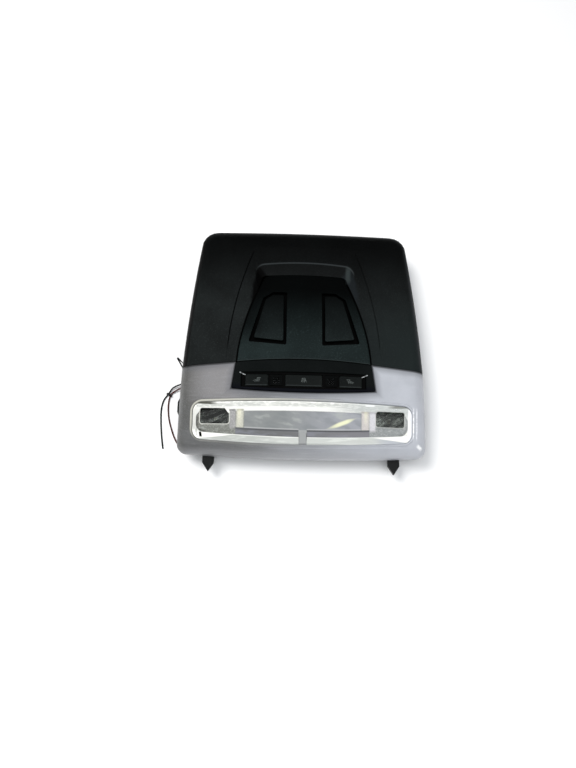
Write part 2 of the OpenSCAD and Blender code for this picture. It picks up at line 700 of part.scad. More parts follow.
module centre_panel() {
    gap = shut_gap;
    r = panel_corner_r;
    cx = panel_side(panel_end(panel_high_w / 2) - r) - gap - r;
    cy = panel_end(cx) - gap - r;
    across = [-1, -0.97, -0.75, -0.5, -0.25, 0, 0.25, 0.5, 0.75, 0.97, 1];
    rows = 8;
    body = [for (k = [0:rows]) let (t = k / rows, y = lerp(strip_top_y + gap, cy, t))
        [panel_side(y) - gap, function (x) lerp(strip_top(x) + gap, cy, t)]];
    corner = [for (a = [30, 60, 90]) [cx + r * cos(a), function (x) lerp(cy, panel_end(x) - gap, sin(a))]];
    bands = concat(body, corner);
    outer = [for (band = bands) concat(
        [let (x = -band[0], y = band[1](x)) [x, y, panel_face(x, y) - flange_h]],
        [for (u = across) let (x = u * band[0], y = band[1](x))
            [x, y, panel_face(x, y) - (abs(u) == 1 ? edge_drop : 0)]],
        [let (x = band[0], y = band[1](x)) [x, y, panel_face(x, y) - flange_h]])];
    inner = [for (band = bands) concat(
        [let (x = -band[0], y = band[1](x)) [x + wall, y, panel_face(x, y) - flange_h]],
        [for (u = across) let (x = u * band[0], y = band[1](x))
            [u * (band[0] - wall), y, panel_face(x, y) - wall]],
        [let (x = band[0], y = band[1](x)) [x - wall, y, panel_face(x, y) - flange_h]])];
    color(dark_grained) difference() {
        union() {
            rail_shell(outer, inner, true);
            well_cup();
            mirror([1, 0, 0]) well_cup();
        }
        well_cut();
        mirror([1, 0, 0]) well_cut();
    }
}

module blanking_cover() {
    plan = well_plan(cap_in_gap, cap_out_gap, cap_end_gap, cap_near_gap);
    top = well_plan(cap_in_gap + cap_bevel, cap_out_gap + cap_bevel, cap_end_gap + cap_bevel,
        cap_near_gap + cap_bevel);
    color(dark_grained)
        loop_loft([on_panel(plan, well_depth - seat_gap), on_panel(plan, 0.5), on_panel(top, 0)]);
}

module button_opening(x, w) {
    box(x, button_row_y, flange_z, w + 2 * button_gap, button_l + 2 * button_gap, crown_z);
}

tab_w = 12;
tab_l = 4;
tab_pitch = 42;

// Tab of the strip that reaches under the edge of the panel
module strip_tab(x) {
    y = strip_top(x);
    top = crown(abs(x) + tab_w / 2, y) - wall - seat_gap;
    box(x, y + (tab_l - wall) / 2, top - ledge_t, tab_w, tab_l + wall, ledge_t);
}

module switch_bezel() {
    half = strip_recess_w / 2;
    // Places across half of the strip, and how deep the recess is at each
    places = [[0, 1], [half * 0.3, 1], [half * 0.6, 1], [half - 4, 1], [half - 1.2, 1], [half, 0]];
    steps = concat([for (k = [len(places) - 1:-1:1]) [-places[k][0], places[k][1]]], places);
    function station(s) = let (x = s[0], y0 = strip_top(x), y1 = strip_low(x), d = strip_recess_depth * s[1],
        bow = 1 - pow(x / half, 2),
        ys = [y0, y0, y0 - edge_drop, strip_recess_top_y + 0.8 * bow, strip_recess_top_y + 0.8 * bow - 0.6,
            strip_recess_low_y - 1.2 * bow + 0.6, strip_recess_low_y - 1.2 * bow, y1 + edge_drop, y1, y1],
        drops = [flange_h, edge_drop, 0, 0, d, d, 0, 0, edge_drop, flange_h],
        backs = [flange_h, wall, wall, wall, wall + d, wall + d, wall, wall, wall, flange_h])
        [[for (k = [0:9]) [x, ys[k], crown(x, ys[k]) - drops[k]]],
            [for (k = [0:9]) let (y = lerp(y0 - wall, y1 + wall, (ys[k] - y0) / (y1 - y0)))
                [x, y, crown(x, y) - backs[k]]]];
    function end_station(side) = let (
        ys = [strip_top_y, strip_top_y, strip_top_y - edge_drop, strip_recess_top_y, strip_recess_top_y - 0.6,
            strip_recess_low_y + 0.6, strip_recess_low_y, strip_low_y + edge_drop, strip_low_y, strip_low_y],
        drops = [flange_h, edge_drop, 0, 0, 0, 0, 0, 0, edge_drop, flange_h],
        backs = [flange_h, wall, wall, wall, wall, wall, wall, wall, wall, flange_h])
        [[for (k = [0:9]) let (x = side * strip_side(ys[k])) [x, ys[k], crown(x, ys[k]) - drops[k]]],
            [for (k = [0:9]) let (x = side * strip_side(ys[k]), t = (ys[k] - strip_top_y) / (strip_low_y - strip_top_y),
                y = lerp(strip_top_y - wall, strip_low_y + wall, t)) [x, y, crown(x, y) - backs[k]]]];
    grids = concat([end_station(-1)], [for (s = steps) station(s)], [end_station(1)]);
    color(near_black) difference() {
        union() {
            rail_shell([for (g = grids) g[0]], [for (g = grids) g[1]], true);
            for (k = [-1:1]) strip_tab(k * tab_pitch);
        }
        for (x = [-reading_button_x, reading_button_x]) button_opening(x, reading_button_w);
        button_opening(0, centre_button_w);
        for (x = [-grille_x, grille_x]) button_opening(x, grille_w - 2 * button_gap + 2 * seat_gap);
    }
}

// A loop of a button's plan on a height function
function button_loop(x, w, l, height) = [for (p = rounded([
    [x - w / 2, button_row_y - l / 2], [x + w / 2, button_row_y - l / 2],
    [x + w / 2, button_row_y + l / 2], [x - w / 2, button_row_y + l / 2]], 1, 1)) [p.x, p.y, height(p.x, p.y)]];
button_lip_w = 1;
button_lip_h = 1.2;
strip_back_depth = strip_recess_depth + wall;

module push_button(x, w) {
    lip_top = strip_back_depth + 0.4;
    lip_low = lip_top + button_lip_h;
    wide = w + 2 * button_lip_w;
    long = button_l + 2 * button_lip_w;
    hollow_w = w - 2 * button_wall;
    hollow_l = button_l - 2 * button_wall;
    roof = function (x, y) strip_floor(x, y) + button_proud;
    color(near_black) union() {
        difference() {
            loop_loft([
                button_loop(x, wide, long, function (x, y) crown(x, y) - lip_low),
                button_loop(x, wide, long, function (x, y) crown(x, y) - lip_top),
                button_loop(x, w, button_l, function (x, y) crown(x, y) - lip_top),
                button_loop(x, w, button_l, function (x, y) roof(x, y) - 0.5),
                button_loop(x, w - 1, button_l - 1, roof)]);
            loop_loft([
                button_loop(x, hollow_w, hollow_l, function (x, y) crown(x, y) - lip_low - 1),
                button_loop(x, hollow_w, hollow_l, function (x, y) roof(x, y) - button_wall)]);
        }
        rod([x, button_row_y], plunger_top_z, stem_r, roof(x, button_row_y) - button_wall / 2 - plunger_top_z);
    }
}

module microphone_grille(x) {
    top = strip_floor(x, button_row_y) + 0.2;
    pitch = 2.2;
    slot = 1.3;
    flange = strip_floor(x, button_row_y) - wall - 0.9;
    color(near_black) difference() {
        union() {
            box(x, button_row_y, flange, grille_w, button_l, top - flange);
            box(x, button_row_y, flange - 1, grille_w + 1, button_l + 1, 1);
            rod([x, button_row_y], flange - capsule_h, capsule_r + 1.2, capsule_h);
        }
        rod([x, button_row_y], flange - capsule_h - 1, capsule_r + seat_gap, capsule_h + 1.5);
        for (i = [-1:1]) for (j = [-1:1])
            box(x + i * pitch, button_row_y + j * pitch, flange - 1, slot, slot, crown_z);
    }
}

module microphone(x) {
    z = strip_floor(x, button_row_y) - wall - 0.9 - capsule_h;
    color(metal) difference() {
        rod([x, button_row_y], z + 0.3, capsule_r, capsule_h);
        rod([x, button_row_y], z + capsule_h - 0.2, capsule_r / 4, 1);
    }
}

// Width of the flat edge of the lens
lens_edge_w = 1.2;

module lamp_lens() {
    edge = lens_w / 2 - lens_gap;
    // Places across half of the lens, as angles of the corner past the straight part
    straight = [for (t = [0, 0.22, 0.44, 0.66, 0.82, 0.94]) t * lens_corner_x];
    bend = [for (a = [8, 32, 54, 76]) lens_corner_x + (lens_corner_r - lens_gap) * sin(a)];
    half = concat(straight, bend, [edge]);
    places = concat([for (k = [len(half) - 1:-1:1]) -half[k]], half);
    floor_end = lens_corner_x + lens_corner_r * 0.5;
    low = seat_depth - 2 * seat_gap;
    grids = [for (x = places) let (
        y0 = lens_upper(x, lens_gap), y1 = lens_lower(x, lens_gap),
        k = clamp01((edge - abs(x)) / (edge - floor_end)), d = lens_sink + lens_dish * k,
        band = min(lens_band_w, (y0 - y1) / 4), rim = min(lens_edge_w, band / 2),
        ys = [y0, y0, y0 - rim, y0 - band, (y0 + y1) / 2, y1 + band, y1 + rim, y1, y1],
        drops = [low, lens_sink, lens_sink, d, d, d, lens_sink, lens_sink, low],
        backs = [low, lens_sink + lens_t, lens_sink + lens_t, d + lens_t, d + lens_t, d + lens_t,
            lens_sink + lens_t, lens_sink + lens_t, low])
        [[for (k = [0:8]) [x, ys[k], skin(x, ys[k]) - drops[k]]],
            [for (k = [0:8]) let (y = lerp(y0 - lens_t * 0.7, y1 + lens_t * 0.7, (ys[k] - y0) / (y1 - y0)))
                [x, y, skin(x, y) - backs[k]]]]];
    color(clear_white) difference() {
        union() {
            rail_shell([for (g = grids) g[0]], [for (g = grids) g[1]], true);
            lens_rib();
            for (s = [-1, 1]) window_frame(s);
        }
        for (s = [-1, 1]) {
            window_cut(s);
            strip_cut(s);
        }
    }
}

// Rib that stands on the middle of the lower band of the lens
module lens_rib() {
    low = lens_lower(0, lens_gap) + lens_edge_w;
    high = low + lens_band_w + 3;
    // Depths at the high and at the low end, and the inset of the sides, for the foot and for the top
    foot = [lens_floor_depth + lens_t / 2, lens_sink + lens_t / 2, 0];
    top = [lens_floor_depth - 0.7, lens_sink - 0.1, 0.5];
    loop_loft([for (level = [foot, top]) [for (p = [[-1, low, 1], [1, low, 1], [1, high, 0], [-1, high, 0]])
        [p[0] * (lens_rib_w / 2 - level[2]), p[1], skin(0, p[1]) - level[p[2]]]]]);
}

window_corner_r = 2.5;
frame_w = 0.7;
frame_h = 0.35;
field_depth = 0.5;
function facing(s, points) =
    let (plan = [for (p = points) [s * p.x, p.y]])
    s > 0 ? plan : backwards(plan);

// Plan of a clear window, grown by a distance
function window_plan(s, grow) = facing(s, rounded([
    [window_in_x - grow, window_low_y - grow], [window_out_x + grow, window_low_y - grow],
    [window_out_x + grow, window_top_y + grow], [window_in_x - grow, window_top_y + grow]],
    window_corner_r + grow, 2));
function on_lens(points, depth) = [for (p = points) [p.x, p.y, skin(p.x, p.y) - lens_floor_depth - depth]];

// Shallow field of a clear window in the floor of the lens
module window_cut(s) {
    loop_loft([on_lens(window_plan(s, 0), field_depth), on_lens(window_plan(s, 0), -lens_floor_depth - 2)]);
}

// Narrow frame that stands round a window
module window_frame(s) {
    loop_loft([
        on_lens(window_plan(s, frame_w), lens_t / 3), on_lens(window_plan(s, frame_w), -frame_h / 2),
        on_lens(window_plan(s, frame_w / 2), -frame_h), on_lens(window_plan(s, -frame_w / 2), -frame_h),
        on_lens(window_plan(s, -frame_w / 2), lens_t / 3)], closed = true);
}

// Long shallow field between the diffuser and the lower band of the lens
module strip_cut(s) {
    start = lens_rib_w / 2 + edge_drop;
    far = [for (k = [0:3]) lerp(start, diffuser_out_x, k / 3)];
    low = [for (x = far) [x, lens_lower(x, lens_gap) + lens_band_w + edge_drop]];
    plan = facing(s, concat(low, [for (k = [3:-1:0]) [far[k], diffuser_low_y]]));
    loop_loft([on_lens(plan, field_depth), on_lens(plan, -1)]);
}

back_gap = 0.25;

module centre_diffuser() {
    places = [-1, -0.6, -0.2, 0.2, 0.6, 1];
    function face(x, y, depth) = skin(x, y) - lens_back_depth - back_gap - depth;
    outer = [for (u = places) let (x = u * (diffuser_in_x + 1))
        [for (y = [diffuser_low_y, window_top_y]) [x, y, face(x, y, 0.8)]]];
    inner = [for (u = places) let (x = u * (diffuser_in_x + 1))
        [for (y = [diffuser_low_y, window_top_y]) [x, y, face(x, y, 0.8 + diffuser_t)]]];
    color("white") union() {
        rail_shell(outer, inner, false);
        for (s = [-1, 1]) loop_loft([
            [for (p = bar_plan(s)) [p.x, p.y, board_top_z]],
            [for (p = bar_plan(s)) [p.x, p.y, face(p.x, p.y, 0)]]]);
    }
}

function bar_plan(s) =
    let (a = s > 0 ? diffuser_in_x : -diffuser_out_x, b = s > 0 ? diffuser_out_x : -diffuser_in_x)
    [[a, diffuser_low_y], [b, diffuser_low_y], [b, window_top_y], [a, window_top_y]];

led_w = 3.5;
led_h = 1.3;
window_mid_y = (window_top_y + window_low_y) / 2;
window_mid_x = (window_in_x + window_out_x) / 2;

// A loop round the middle of a reading window, on a height function
function reflector_loop(s, w, l, height) = [for (p = [
    [s * window_mid_x - w / 2, window_mid_y - l / 2], [s * window_mid_x + w / 2, window_mid_y - l / 2],
    [s * window_mid_x + w / 2, window_mid_y + l / 2], [s * window_mid_x - w / 2, window_mid_y + l / 2]])
    [p.x, p.y, height(p.x, p.y)]];

module reflector(s) {
    w = window_out_x - window_in_x;
    l = window_top_y - window_low_y;
    top = function (x, y) skin(x, y) - lens_back_depth - back_gap;
    color("dimgray") difference() {
        loop_loft([reflector_loop(s, w, l, function (x, y) board_top_z), reflector_loop(s, w, l, top)]);
        loop_loft([
            reflector_loop(s, led_w + 1.5, led_w + 1.5, function (x, y) board_top_z - 1),
            reflector_loop(s, led_w + 1.5, led_w + 1.5, function (x, y) board_top_z + 1),
            reflector_loop(s, w - 2, l - 2, function (x, y) top(x, y) + 1)]);
    }
}

module led(x, y) {
    box(x, y, board_top_z, led_w, led_w, led_h);
}

module circuit_board() {
    r = 4;
    outline = rounded([
        [-board_w / 2, board_low_y], [board_w / 2, board_low_y], [board_w / 2, board_top_y],
        [-board_w / 2, board_top_y]], r, 4);
    color(board_green) difference() {
        plate(outline, board_z, board_t);
        for (p = board_post_spots) rod(p, board_z - 1, screw_bore_r + 0.2, board_t + 2);
        for (p = pin_spots()) box(p[0], p[1], board_z - 1, pin_w + 0.3, pin_w + 0.3, board_t + 2);
    }
}

module switch_body(x) {
    color(near_black) difference() {
        box(x, button_row_y, board_top_z, switch_w, switch_w, switch_h);
        rod([x, button_row_y], board_top_z + 0.3, plunger_r + plunger_gap, switch_h);
    }
}

module plunger(x) {
    low = board_top_z + 0.3 + button_travel + 0.2;
    color("ivory") rod([x, button_row_y], low, plunger_r, plunger_top_z - low);
}

// Mouth of the connector, which stands out of the tray beside the lamp
header_face_x = tray_x(header_y) + header_out;
header_body_l = socket_depth + header_back;
pin_tail = 3;
pin_row_z = [for (s = [-1, 1]) header_z + (header_h + s * pin_pitch) / 2];
function pin_spots() = [for (row = [0, 1]) for (k = [0:pins_in_row - 1])
    [header_face_x - header_body_l - (row + 1) * pin_tail, header_y + (k - (pins_in_row - 1) / 2) * pin_pitch,
        pin_row_z[1 - row]]];

module connector_header() {
    color(near_black) difference() {
        translate([header_face_x - header_body_l, header_y - header_w / 2, header_z])
            cube([header_body_l, header_w, header_h]);
        translate([header_face_x - socket_depth, header_y - header_w / 2 + socket_wall, header_z + socket_wall])
            cube([socket_depth + 1, header_w - 2 * socket_wall, header_h - 2 * socket_wall]);
        for (p = pin_spots()) translate([header_face_x - header_body_l - 1, p[1] - pin_w / 2, p[2] - pin_w / 2])
            cube([header_body_l, pin_w, pin_w]);
    }
}

module connector_pins() {
    color("gold") for (p = pin_spots()) union() {
        translate([p[0] - pin_w / 2, p[1] - pin_w / 2, p[2] - pin_w / 2])
            cube([header_face_x - socket_depth + pin_reach - p[0], pin_w, pin_w]);
        translate([p[0] - pin_w / 2, p[1] - pin_w / 2, p[2] - pin_w / 2])
            cube([pin_w, pin_w, board_top_z + 1 - p[2]]);
    }
}

module base_housing() {
    flange_d = 1;
    edge_up = u_ring(function (y) side_x(y) - flange_d, function (x) dark_edge_y(x) - flange_d,
        dark_corner_r - flange_d, 0, 1);
    edge_down = u_ring(function (y) side_x(y) - flange_d, function (x) lamp_edge_y(x) + flange_d,
        lamp_corner_r - flange_d, 0, -1);
    flange = concat(edge_up, [for (k = [len(edge_down) - 2:-1:1]) edge_down[k]]);
    tray = rounded(tray_outline, tray_corner_r, 6);
    inside = rounded([for (p = tray_outline) [p.x - sign(p.x) * tray_wall, p.y - sign(p.y) * tray_wall]],
        tray_corner_r - tray_wall, 6);
    screw_spots = concat(cover_boss_spots, cover_end_spots, bezel_boss_spots);
    low_z = flange_z - flange_t;
    color(near_black) difference() {
        union() {
            plate(tray, 0, flange_z);
            plate(flange, low_z, flange_t);
            for (s = [-1, 1]) {
                tongue(s);
                lug(s);
            }
            lead_pad();
            for (y = web_ys) for (s = [-1, 1])
                web(s * (tray_x(y) - overlap), y, s > 0 ? 0 : 180, side_x(y) - tray_x(y) - web_gap);
            for (x = web_xs) web(x, tray_end_y - overlap, 90, dark_end_y - tray_end_y - web_gap);
        }
        difference() {
            plate(inside, back_t, flange_z);
            for (p = board_post_spots) rod(p, 0, boss_r, flange_z);
        }
        back_pockets();
        for (p = screw_spots) rod(p, low_z - 1, screw_bore_r + 0.2, flange_t + 2);
        for (p = board_post_spots) rod(p, board_z - screw_l - 1, screw_bore_r, screw_l);
        translate([header_face_x - header_body_l - 1, header_y - header_w / 2 - seat_gap, header_z - seat_gap])
            cube([header_body_l, header_w + 2 * seat_gap, header_h + 2 * seat_gap]);
        translate([-tray_x(lead_y) - 6, lead_y, lead_exit_z]) rotate([0, 90, 0])
            cylinder(r = grommet_r, h = 12, $fn = 48);
    }
    color(near_black) board_posts();
}

module board_posts() {
    for (p = board_post_spots) difference() {
        rod(p, back_t - overlap, boss_r, board_z - back_t + overlap);
        rod(p, board_z - screw_l - 1, screw_bore_r, screw_l + 2);
    }
}

module back_pockets() {
    columns = 4;
    rows = 3;
    w = (2 * tray_x(tray_end_y) - 2 * rib_w) / columns;
    l = (2 * tray_end_y - 2 * tray_corner_r) / (rows + 1);
    for (i = [0:columns - 1]) for (j = [0:rows])
        box((i - (columns - 1) / 2) * w, (j - rows / 2) * l, -1, w - rib_w, l - rib_w, pocket_depth + 1);
}

// Three-cornered web between the side of the tray and the flange
module web(x, y, turn, reach) {
    translate([x, y, flange_z - flange_t - web_h]) rotate([0, 0, turn]) rotate([90, 0, 0])
        linear_extrude(height = web_t, center = true)
            polygon([[0, 0], [reach, web_h + flange_t / 2], [0, web_h + flange_t / 2]]);
}
web_gap = 3;
web_ys = [-90, 22, 40, 58, 88];
web_xs = [-66, -22, 22, 66];

tongue_root = 10;
tongue_groove_w = 2;
tongue_groove_l = 14;

module tongue(s) {
    x = s * (lamp_end_w / 2 - tongue_side);
    w = tongue_w / 2;
    tip = -lamp_end_y - tongue_reach;
    root = -lamp_end_y + tongue_root;
    shoulder = tip + tongue_w * 0.75;
    low = flange_z - flange_t;
    difference() {
        plate([[x - w, root], [x - w, shoulder], [x, tip], [x + w, shoulder], [x + w, root]],
            flange_z - tongue_t, tongue_t);
        box(x, -lamp_end_y + 1, low - tongue_t, tongue_groove_w, tongue_groove_l, tongue_t);
    }
}

// Side lug: a flat tab under the edge, with a slanting shoulder at each end
module lug(s) {
    foot_x = side_x(lug_y) - flange_t;
    shoulder_x = foot_x + flange_t;
    tip_x = foot_x + lug_reach;
    half = lug_l / 2;
    flat = half - lug_shoulder_l;
    outline = [
        [foot_x, -half], [shoulder_x, -half], [tip_x, -flat], [tip_x, flat], [shoulder_x, half], [foot_x, half]
    ];
    translate([0, lug_y, 0])
        plate([for (p = outline) [s * p.x, p.y]], flange_z - 2 * flange_t, 2 * flange_t);
}

lead_y = -34;
grommet_r = 4;
grommet_lip = 1.5;
lead_face_x = tray_x(lead_y) + lead_pad_reach;
lead_side = 1.5;
lead_pad_l = 14;
lead_pad_h = 12;

module lead_pad() {
    translate([-lead_face_x, lead_y - lead_pad_l / 2, lead_exit_z - lead_pad_h / 2])
        cube([lead_pad_reach + 1, lead_pad_l, lead_pad_h]);
}

module lead_grommet() {
    color(near_black) translate([0, lead_y, lead_exit_z]) rotate([0, -90, 0]) difference() {
        union() {
            translate([0, 0, lead_face_x]) cylinder(r = grommet_r + 1.2, h = grommet_lip, $fn = 48);
            translate([0, 0, lead_face_x - 4]) cylinder(r = grommet_r - 0.1, h = 4 + small, $fn = 48);
        }
        for (s = [-1, 1]) translate([0, s * lead_side, lead_face_x - 5])
            cylinder(r = lead_d / 2 + 0.1, h = grommet_lip + 6, $fn = 24);
    }
}

// Spring bent from one strip: a foot under the flange and a V that stands out at the side
module left_spring_clip() {
    bend_y = clip_low_y + clip_l * 0.28;
    foot_y = clip_low_y + clip_l * 0.64;
    tip_y = clip_low_y + clip_l;
    foot_l = 6;
    edge = -side_x(clip_low_y + clip_l / 2) + 1;
    z = flange_z - flange_t - clip_w;
    outline = [
        [edge + clip_t, clip_low_y], [edge - 2 * clip_t, bend_y], [edge - clip_reach, tip_y - clip_t / 2],
        [edge - clip_reach + 2 * clip_t, tip_y + clip_t / 2], [edge - 2 * clip_t, foot_y], [edge + foot_l, foot_y],
        [edge + foot_l, foot_y - clip_t], [edge - clip_t, foot_y - clip_t],
        [edge - clip_reach + 3 * clip_t, tip_y - 2 * clip_t], [edge - clip_t, bend_y + clip_t / 2],
        [edge + 2 * clip_t, clip_low_y + clip_t / 2]
    ];
    color(metal) plate(outline, z, clip_w);
}

module cover_screws() {
    spots = concat(cover_boss_spots, cover_end_spots, bezel_boss_spots);
    low = flange_z - flange_t;
    color(metal) for (p = spots) union() {
        rod(p, low - screw_head_h, screw_head_r, screw_head_h);
        rod(p, low - small, screw_bore_r - 0.1, screw_l);
    }
}

module board_screws() {
    color(metal) for (p = board_post_spots) union() {
        rod(p, board_top_z, screw_head_r, screw_head_h);
        rod(p, board_top_z + small - screw_l, screw_bore_r - 0.1, screw_l);
    }
}

// A smooth curve through the points of a route, with a ring near every third diameter
function spline(a, b, c, d, t) = 0.5 * (2 * b + (c - a) * t + (2 * a - 5 * b + 4 * c - d) * t * t
    + (3 * b - a - 3 * c + d) * t * t * t);
function route(path, spacing) =
    let (n = len(path))
    concat([for (i = [0:n - 2]) let (steps = max(1, round(norm(path[i + 1] - path[i]) / spacing)))
        each [for (k = [0:steps - 1])
            spline(path[max(0, i - 1)], path[i], path[i + 1], path[min(n - 1, i + 2)], k / steps)]],
        [path[n - 1]]);

module lead(path, tint) {
    sides = 8;
    line = route(path, 3 * lead_d);
    n = len(line);
    loops = [for (k = [0:n - 1])
        let (run = k == 0 ? [-1, 0, 0] : line[min(n - 1, k + 1)] - line[k - 1], forward = run / norm(run),
            across = cross(forward, [0, 0, 1]) / norm(cross(forward, [0, 0, 1])), up = cross(across, forward))
        [for (i = [0:sides - 1]) let (a = -360 * i / sides)
            line[k] + lead_d / 2 * (across * cos(a) + up * sin(a))]];
    color(tint) loop_loft(loops);
}

module lead_tie() {
    inner_w = 2 * lead_d + tie_slack;
    inner_h = lead_d + tie_room;
    color(near_black) translate(tie_middle) rotate([0, 0, tie_turn]) difference() {
        box(0, 0, -inner_h / 2 - tie_wall, inner_w + 2 * tie_wall, tie_l, inner_h + 2 * tie_wall);
        box(0, 0, -inner_h / 2, inner_w, tie_l + 1, inner_h);
    }
}

base_housing();
console_cover();
lamp_bezel();
centre_panel();
mirror([1, 0, 0]) blanking_cover();  // left_blanking_cover
blanking_cover();  // right_blanking_cover
switch_bezel();
push_button(-reading_button_x, reading_button_w);  // left_reading_button
push_button(0, centre_button_w);  // centre_light_button
push_button(reading_button_x, reading_button_w);  // right_reading_button
microphone_grille(-grille_x);  // left_microphone_grille
microphone_grille(grille_x);  // right_microphone_grille
microphone(-grille_x);  // left_microphone
microphone(grille_x);  // right_microphone
lamp_lens();
centre_diffuser();
reflector(-1);  // left_reflector
reflector(1);  // right_reflector
color("khaki") led(-window_mid_x, window_mid_y);  // left_reading_led
color("khaki") led(window_mid_x, window_mid_y);  // right_reading_led
color("khaki") for (k = [-1.5:1:1.5]) led(k * led_pitch, (window_top_y + diffuser_low_y) / 2);  // centre_leds
circuit_board();
switch_body(-reading_button_x);  // left_switch
switch_body(0);  // centre_switch
switch_body(reading_button_x);  // right_switch
plunger(-reading_button_x);  // left_plunger
plunger(0);  // centre_plunger
plunger(reading_button_x);  // right_plunger
connector_header();
connector_pins();
left_spring_clip();
cover_screws();
board_screws();
lead_grommet();
lead(black_lead_path, [0.1, 0.1, 0.09]);  // black_lead
lead(red_lead_path, [0.35, 0.08, 0.08]);  // red_lead
lead_tie();
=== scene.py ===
import math

import bpy
from mathutils import Euler, Matrix, Vector


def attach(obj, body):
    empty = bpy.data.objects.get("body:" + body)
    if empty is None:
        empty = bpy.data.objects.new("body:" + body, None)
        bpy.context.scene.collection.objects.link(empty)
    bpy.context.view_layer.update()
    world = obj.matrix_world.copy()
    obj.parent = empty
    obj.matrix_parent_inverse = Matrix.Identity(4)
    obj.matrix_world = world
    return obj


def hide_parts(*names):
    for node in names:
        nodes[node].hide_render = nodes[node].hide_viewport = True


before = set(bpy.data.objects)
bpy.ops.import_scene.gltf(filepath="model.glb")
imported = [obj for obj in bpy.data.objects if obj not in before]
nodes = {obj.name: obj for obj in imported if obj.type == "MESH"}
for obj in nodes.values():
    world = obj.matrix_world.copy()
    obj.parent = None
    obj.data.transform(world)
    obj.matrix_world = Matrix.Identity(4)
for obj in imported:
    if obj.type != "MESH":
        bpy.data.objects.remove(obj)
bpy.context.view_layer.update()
MM = 0.001


# Camera, fitted to the photograph: its place, and its turn in degrees

CAMERA_PLACE = (-30.804, -201.701, 608.492)
CAMERA_TURN = (15.8903, -1.8949, 0.9835)
CAMERA_LENS = 28.125


def add(obj):
    bpy.context.scene.collection.objects.link(obj)
    return obj


def make_camera():
    data = bpy.data.cameras.new("camera")
    data.lens = CAMERA_LENS
    data.sensor_width = 36
    data.clip_start = 0.05
    data.clip_end = 10
    camera = add(bpy.data.objects.new("camera", data))
    turn = Euler([math.radians(angle) for angle in CAMERA_TURN])
    camera.matrix_world = Matrix.LocRotScale(Vector(CAMERA_PLACE) * MM, turn, None)
    bpy.context.scene.camera = camera


make_camera()


# The leads follow the same points as in the part's source

BLACK_PATH = [
    (-101, -32.5, 8), (-108, -31.5, 7.4), (-117, -31, 6.4), (-124, -32.5, 5), (-133, -36, 2.6),
    (-138, -43, 1.6), (-142.5, -50, 1), (-144.2, -60, 0.9), (-143.6, -72, 0.9), (-142, -86, 0.9),
    (-139.6, -100, 0.9)]
RED_PATH = [
    (-101, -35.5, 8), (-108, -35.5, 7.4), (-117, -36, 6), (-125, -37, 4), (-131.5, -40, 2.2),
    (-135.6, -44.4, 1.6), (-137.2, -54, 1), (-136, -67, 0.9), (-132.6, -79, 0.9), (-128, -90, 0.9),
    (-122, -98.5, 0.9), (-115, -103, 0.9), (-107, -104, 0.9)]
LEAD_D = 1.6
LEAD_STEPS = 6


def spline_point(a, b, c, d, t):
    return 0.5 * (
        2 * b + (c - a) * t + (2 * a - 5 * b + 4 * c - d) * t ** 2 + (3 * b - a - 3 * c + d) * t ** 3)


def smooth_line(points):
    """Points of a smooth curve through the given ones, in metres."""
    p = [Vector(q) * MM for q in points]
    last = len(p) - 1
    line = []
    for i in range(last):
        around = (p[max(0, i - 1)], p[i], p[i + 1], p[min(last, i + 2)])
        line += [spline_point(*around, k / LEAD_STEPS) for k in range(LEAD_STEPS)]
    return line + [p[-1]]


def make_lead(name, path, node):
    line = smooth_line(path)
    curve = bpy.data.curves.new(name, "CURVE")
    curve.dimensions = "3D"
    curve.bevel_depth = 1
    curve.bevel_resolution = 5
    curve.use_fill_caps = True
    spline = curve.splines.new("POLY")
    spline.points.add(len(line) - 1)
    for point, place in zip(spline.points, line):
        point.co = (*place, 1)
        point.radius = LEAD_D / 2 * MM
    spline.use_smooth = True
    lead = add(bpy.data.objects.new(name, curve))
    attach(lead, "housing")
    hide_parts(node)
    return lead


black_wire = make_lead("black_lead_wire", BLACK_PATH, "black_lead")
red_wire = make_lead("red_lead_wire", RED_PATH, "red_lead")


# Sizes of the face, in millimetres, as in the part's source

CROWN_Z = 56
PEAK_Y = -20
CROSS_CURVE = 1900
FAR_CURVE = 2900
NEAR_CURVE = 580

PANEL_DIP = 7
PANEL_TOP_Y = 75.5
PANEL_TOP_HALF_W = 39.7
PANEL_LOW_HALF_W = 65.5
PANEL_SIDE_POWER = 1.6
CREASE_TOP_Y = 104
CREASE_TOP_HALF_W = 51
CREASE_LOW_HALF_W = 75.5
CREASE_SIDE_POWER = 1.87
RIM_CORNER_SLOPE = 1.06
RIM_TOP_Y = 87
RIM_TOP_HALF_W = 50.5
RIM_TOP_BOW = 0.0013
RIM_CORNER_R = 9

STRIP_TOP_Y = -22
STRIP_TOP_HALF_W = 65.5
STRIP_TOP_BOW = 3.4
STRIP_SLOPE = 0.135
STRIP_LOW_Y = -51
STRIP_LOW_BOW = 3
STRIP_LOW_HALF_W = 69
STRIP_RECESS = 1.5
STRIP_RECESS_HALF_W = 61
STRIP_END_W = 1.2
BUTTON_PROUD = 0.7
BUTTON_HALF_L = 5.5
BUTTON_Y = -39.6
READING_X = 45.4
JUNCTION_SLOPE = 0.083

LENS_HALF_W = 106
LENS_LOW_BOW = 4.6
LENS_TOP_BOW = 2.2
LENS_LOW_Y = -100.5
LENS_TOP_Y = -59.6
LENS_CORNER_R = 9


def crown(x, y):
    """Height of the crowned face."""
    curve = FAR_CURVE if y > PEAK_Y else NEAR_CURVE
    return CROWN_Z - x * x / CROSS_CURVE - (y - PEAK_Y) ** 2 / curve


# Nodes of materials, of the room's light and of the modifiers

def tone(red, green, blue):
    """A colour given as it looks on a screen, from 0 to 255."""
    def linear(c):
        c = c / 255
        return c / 12.92 if c <= 0.04045 else ((c + 0.055) / 1.055) ** 2.4
    return (linear(red), linear(green), linear(blue), 1)


def scaled(colour, share):
    """A colour made lighter or darker."""
    return tuple(min(1, share * c) for c in colour[:3]) + (1,)


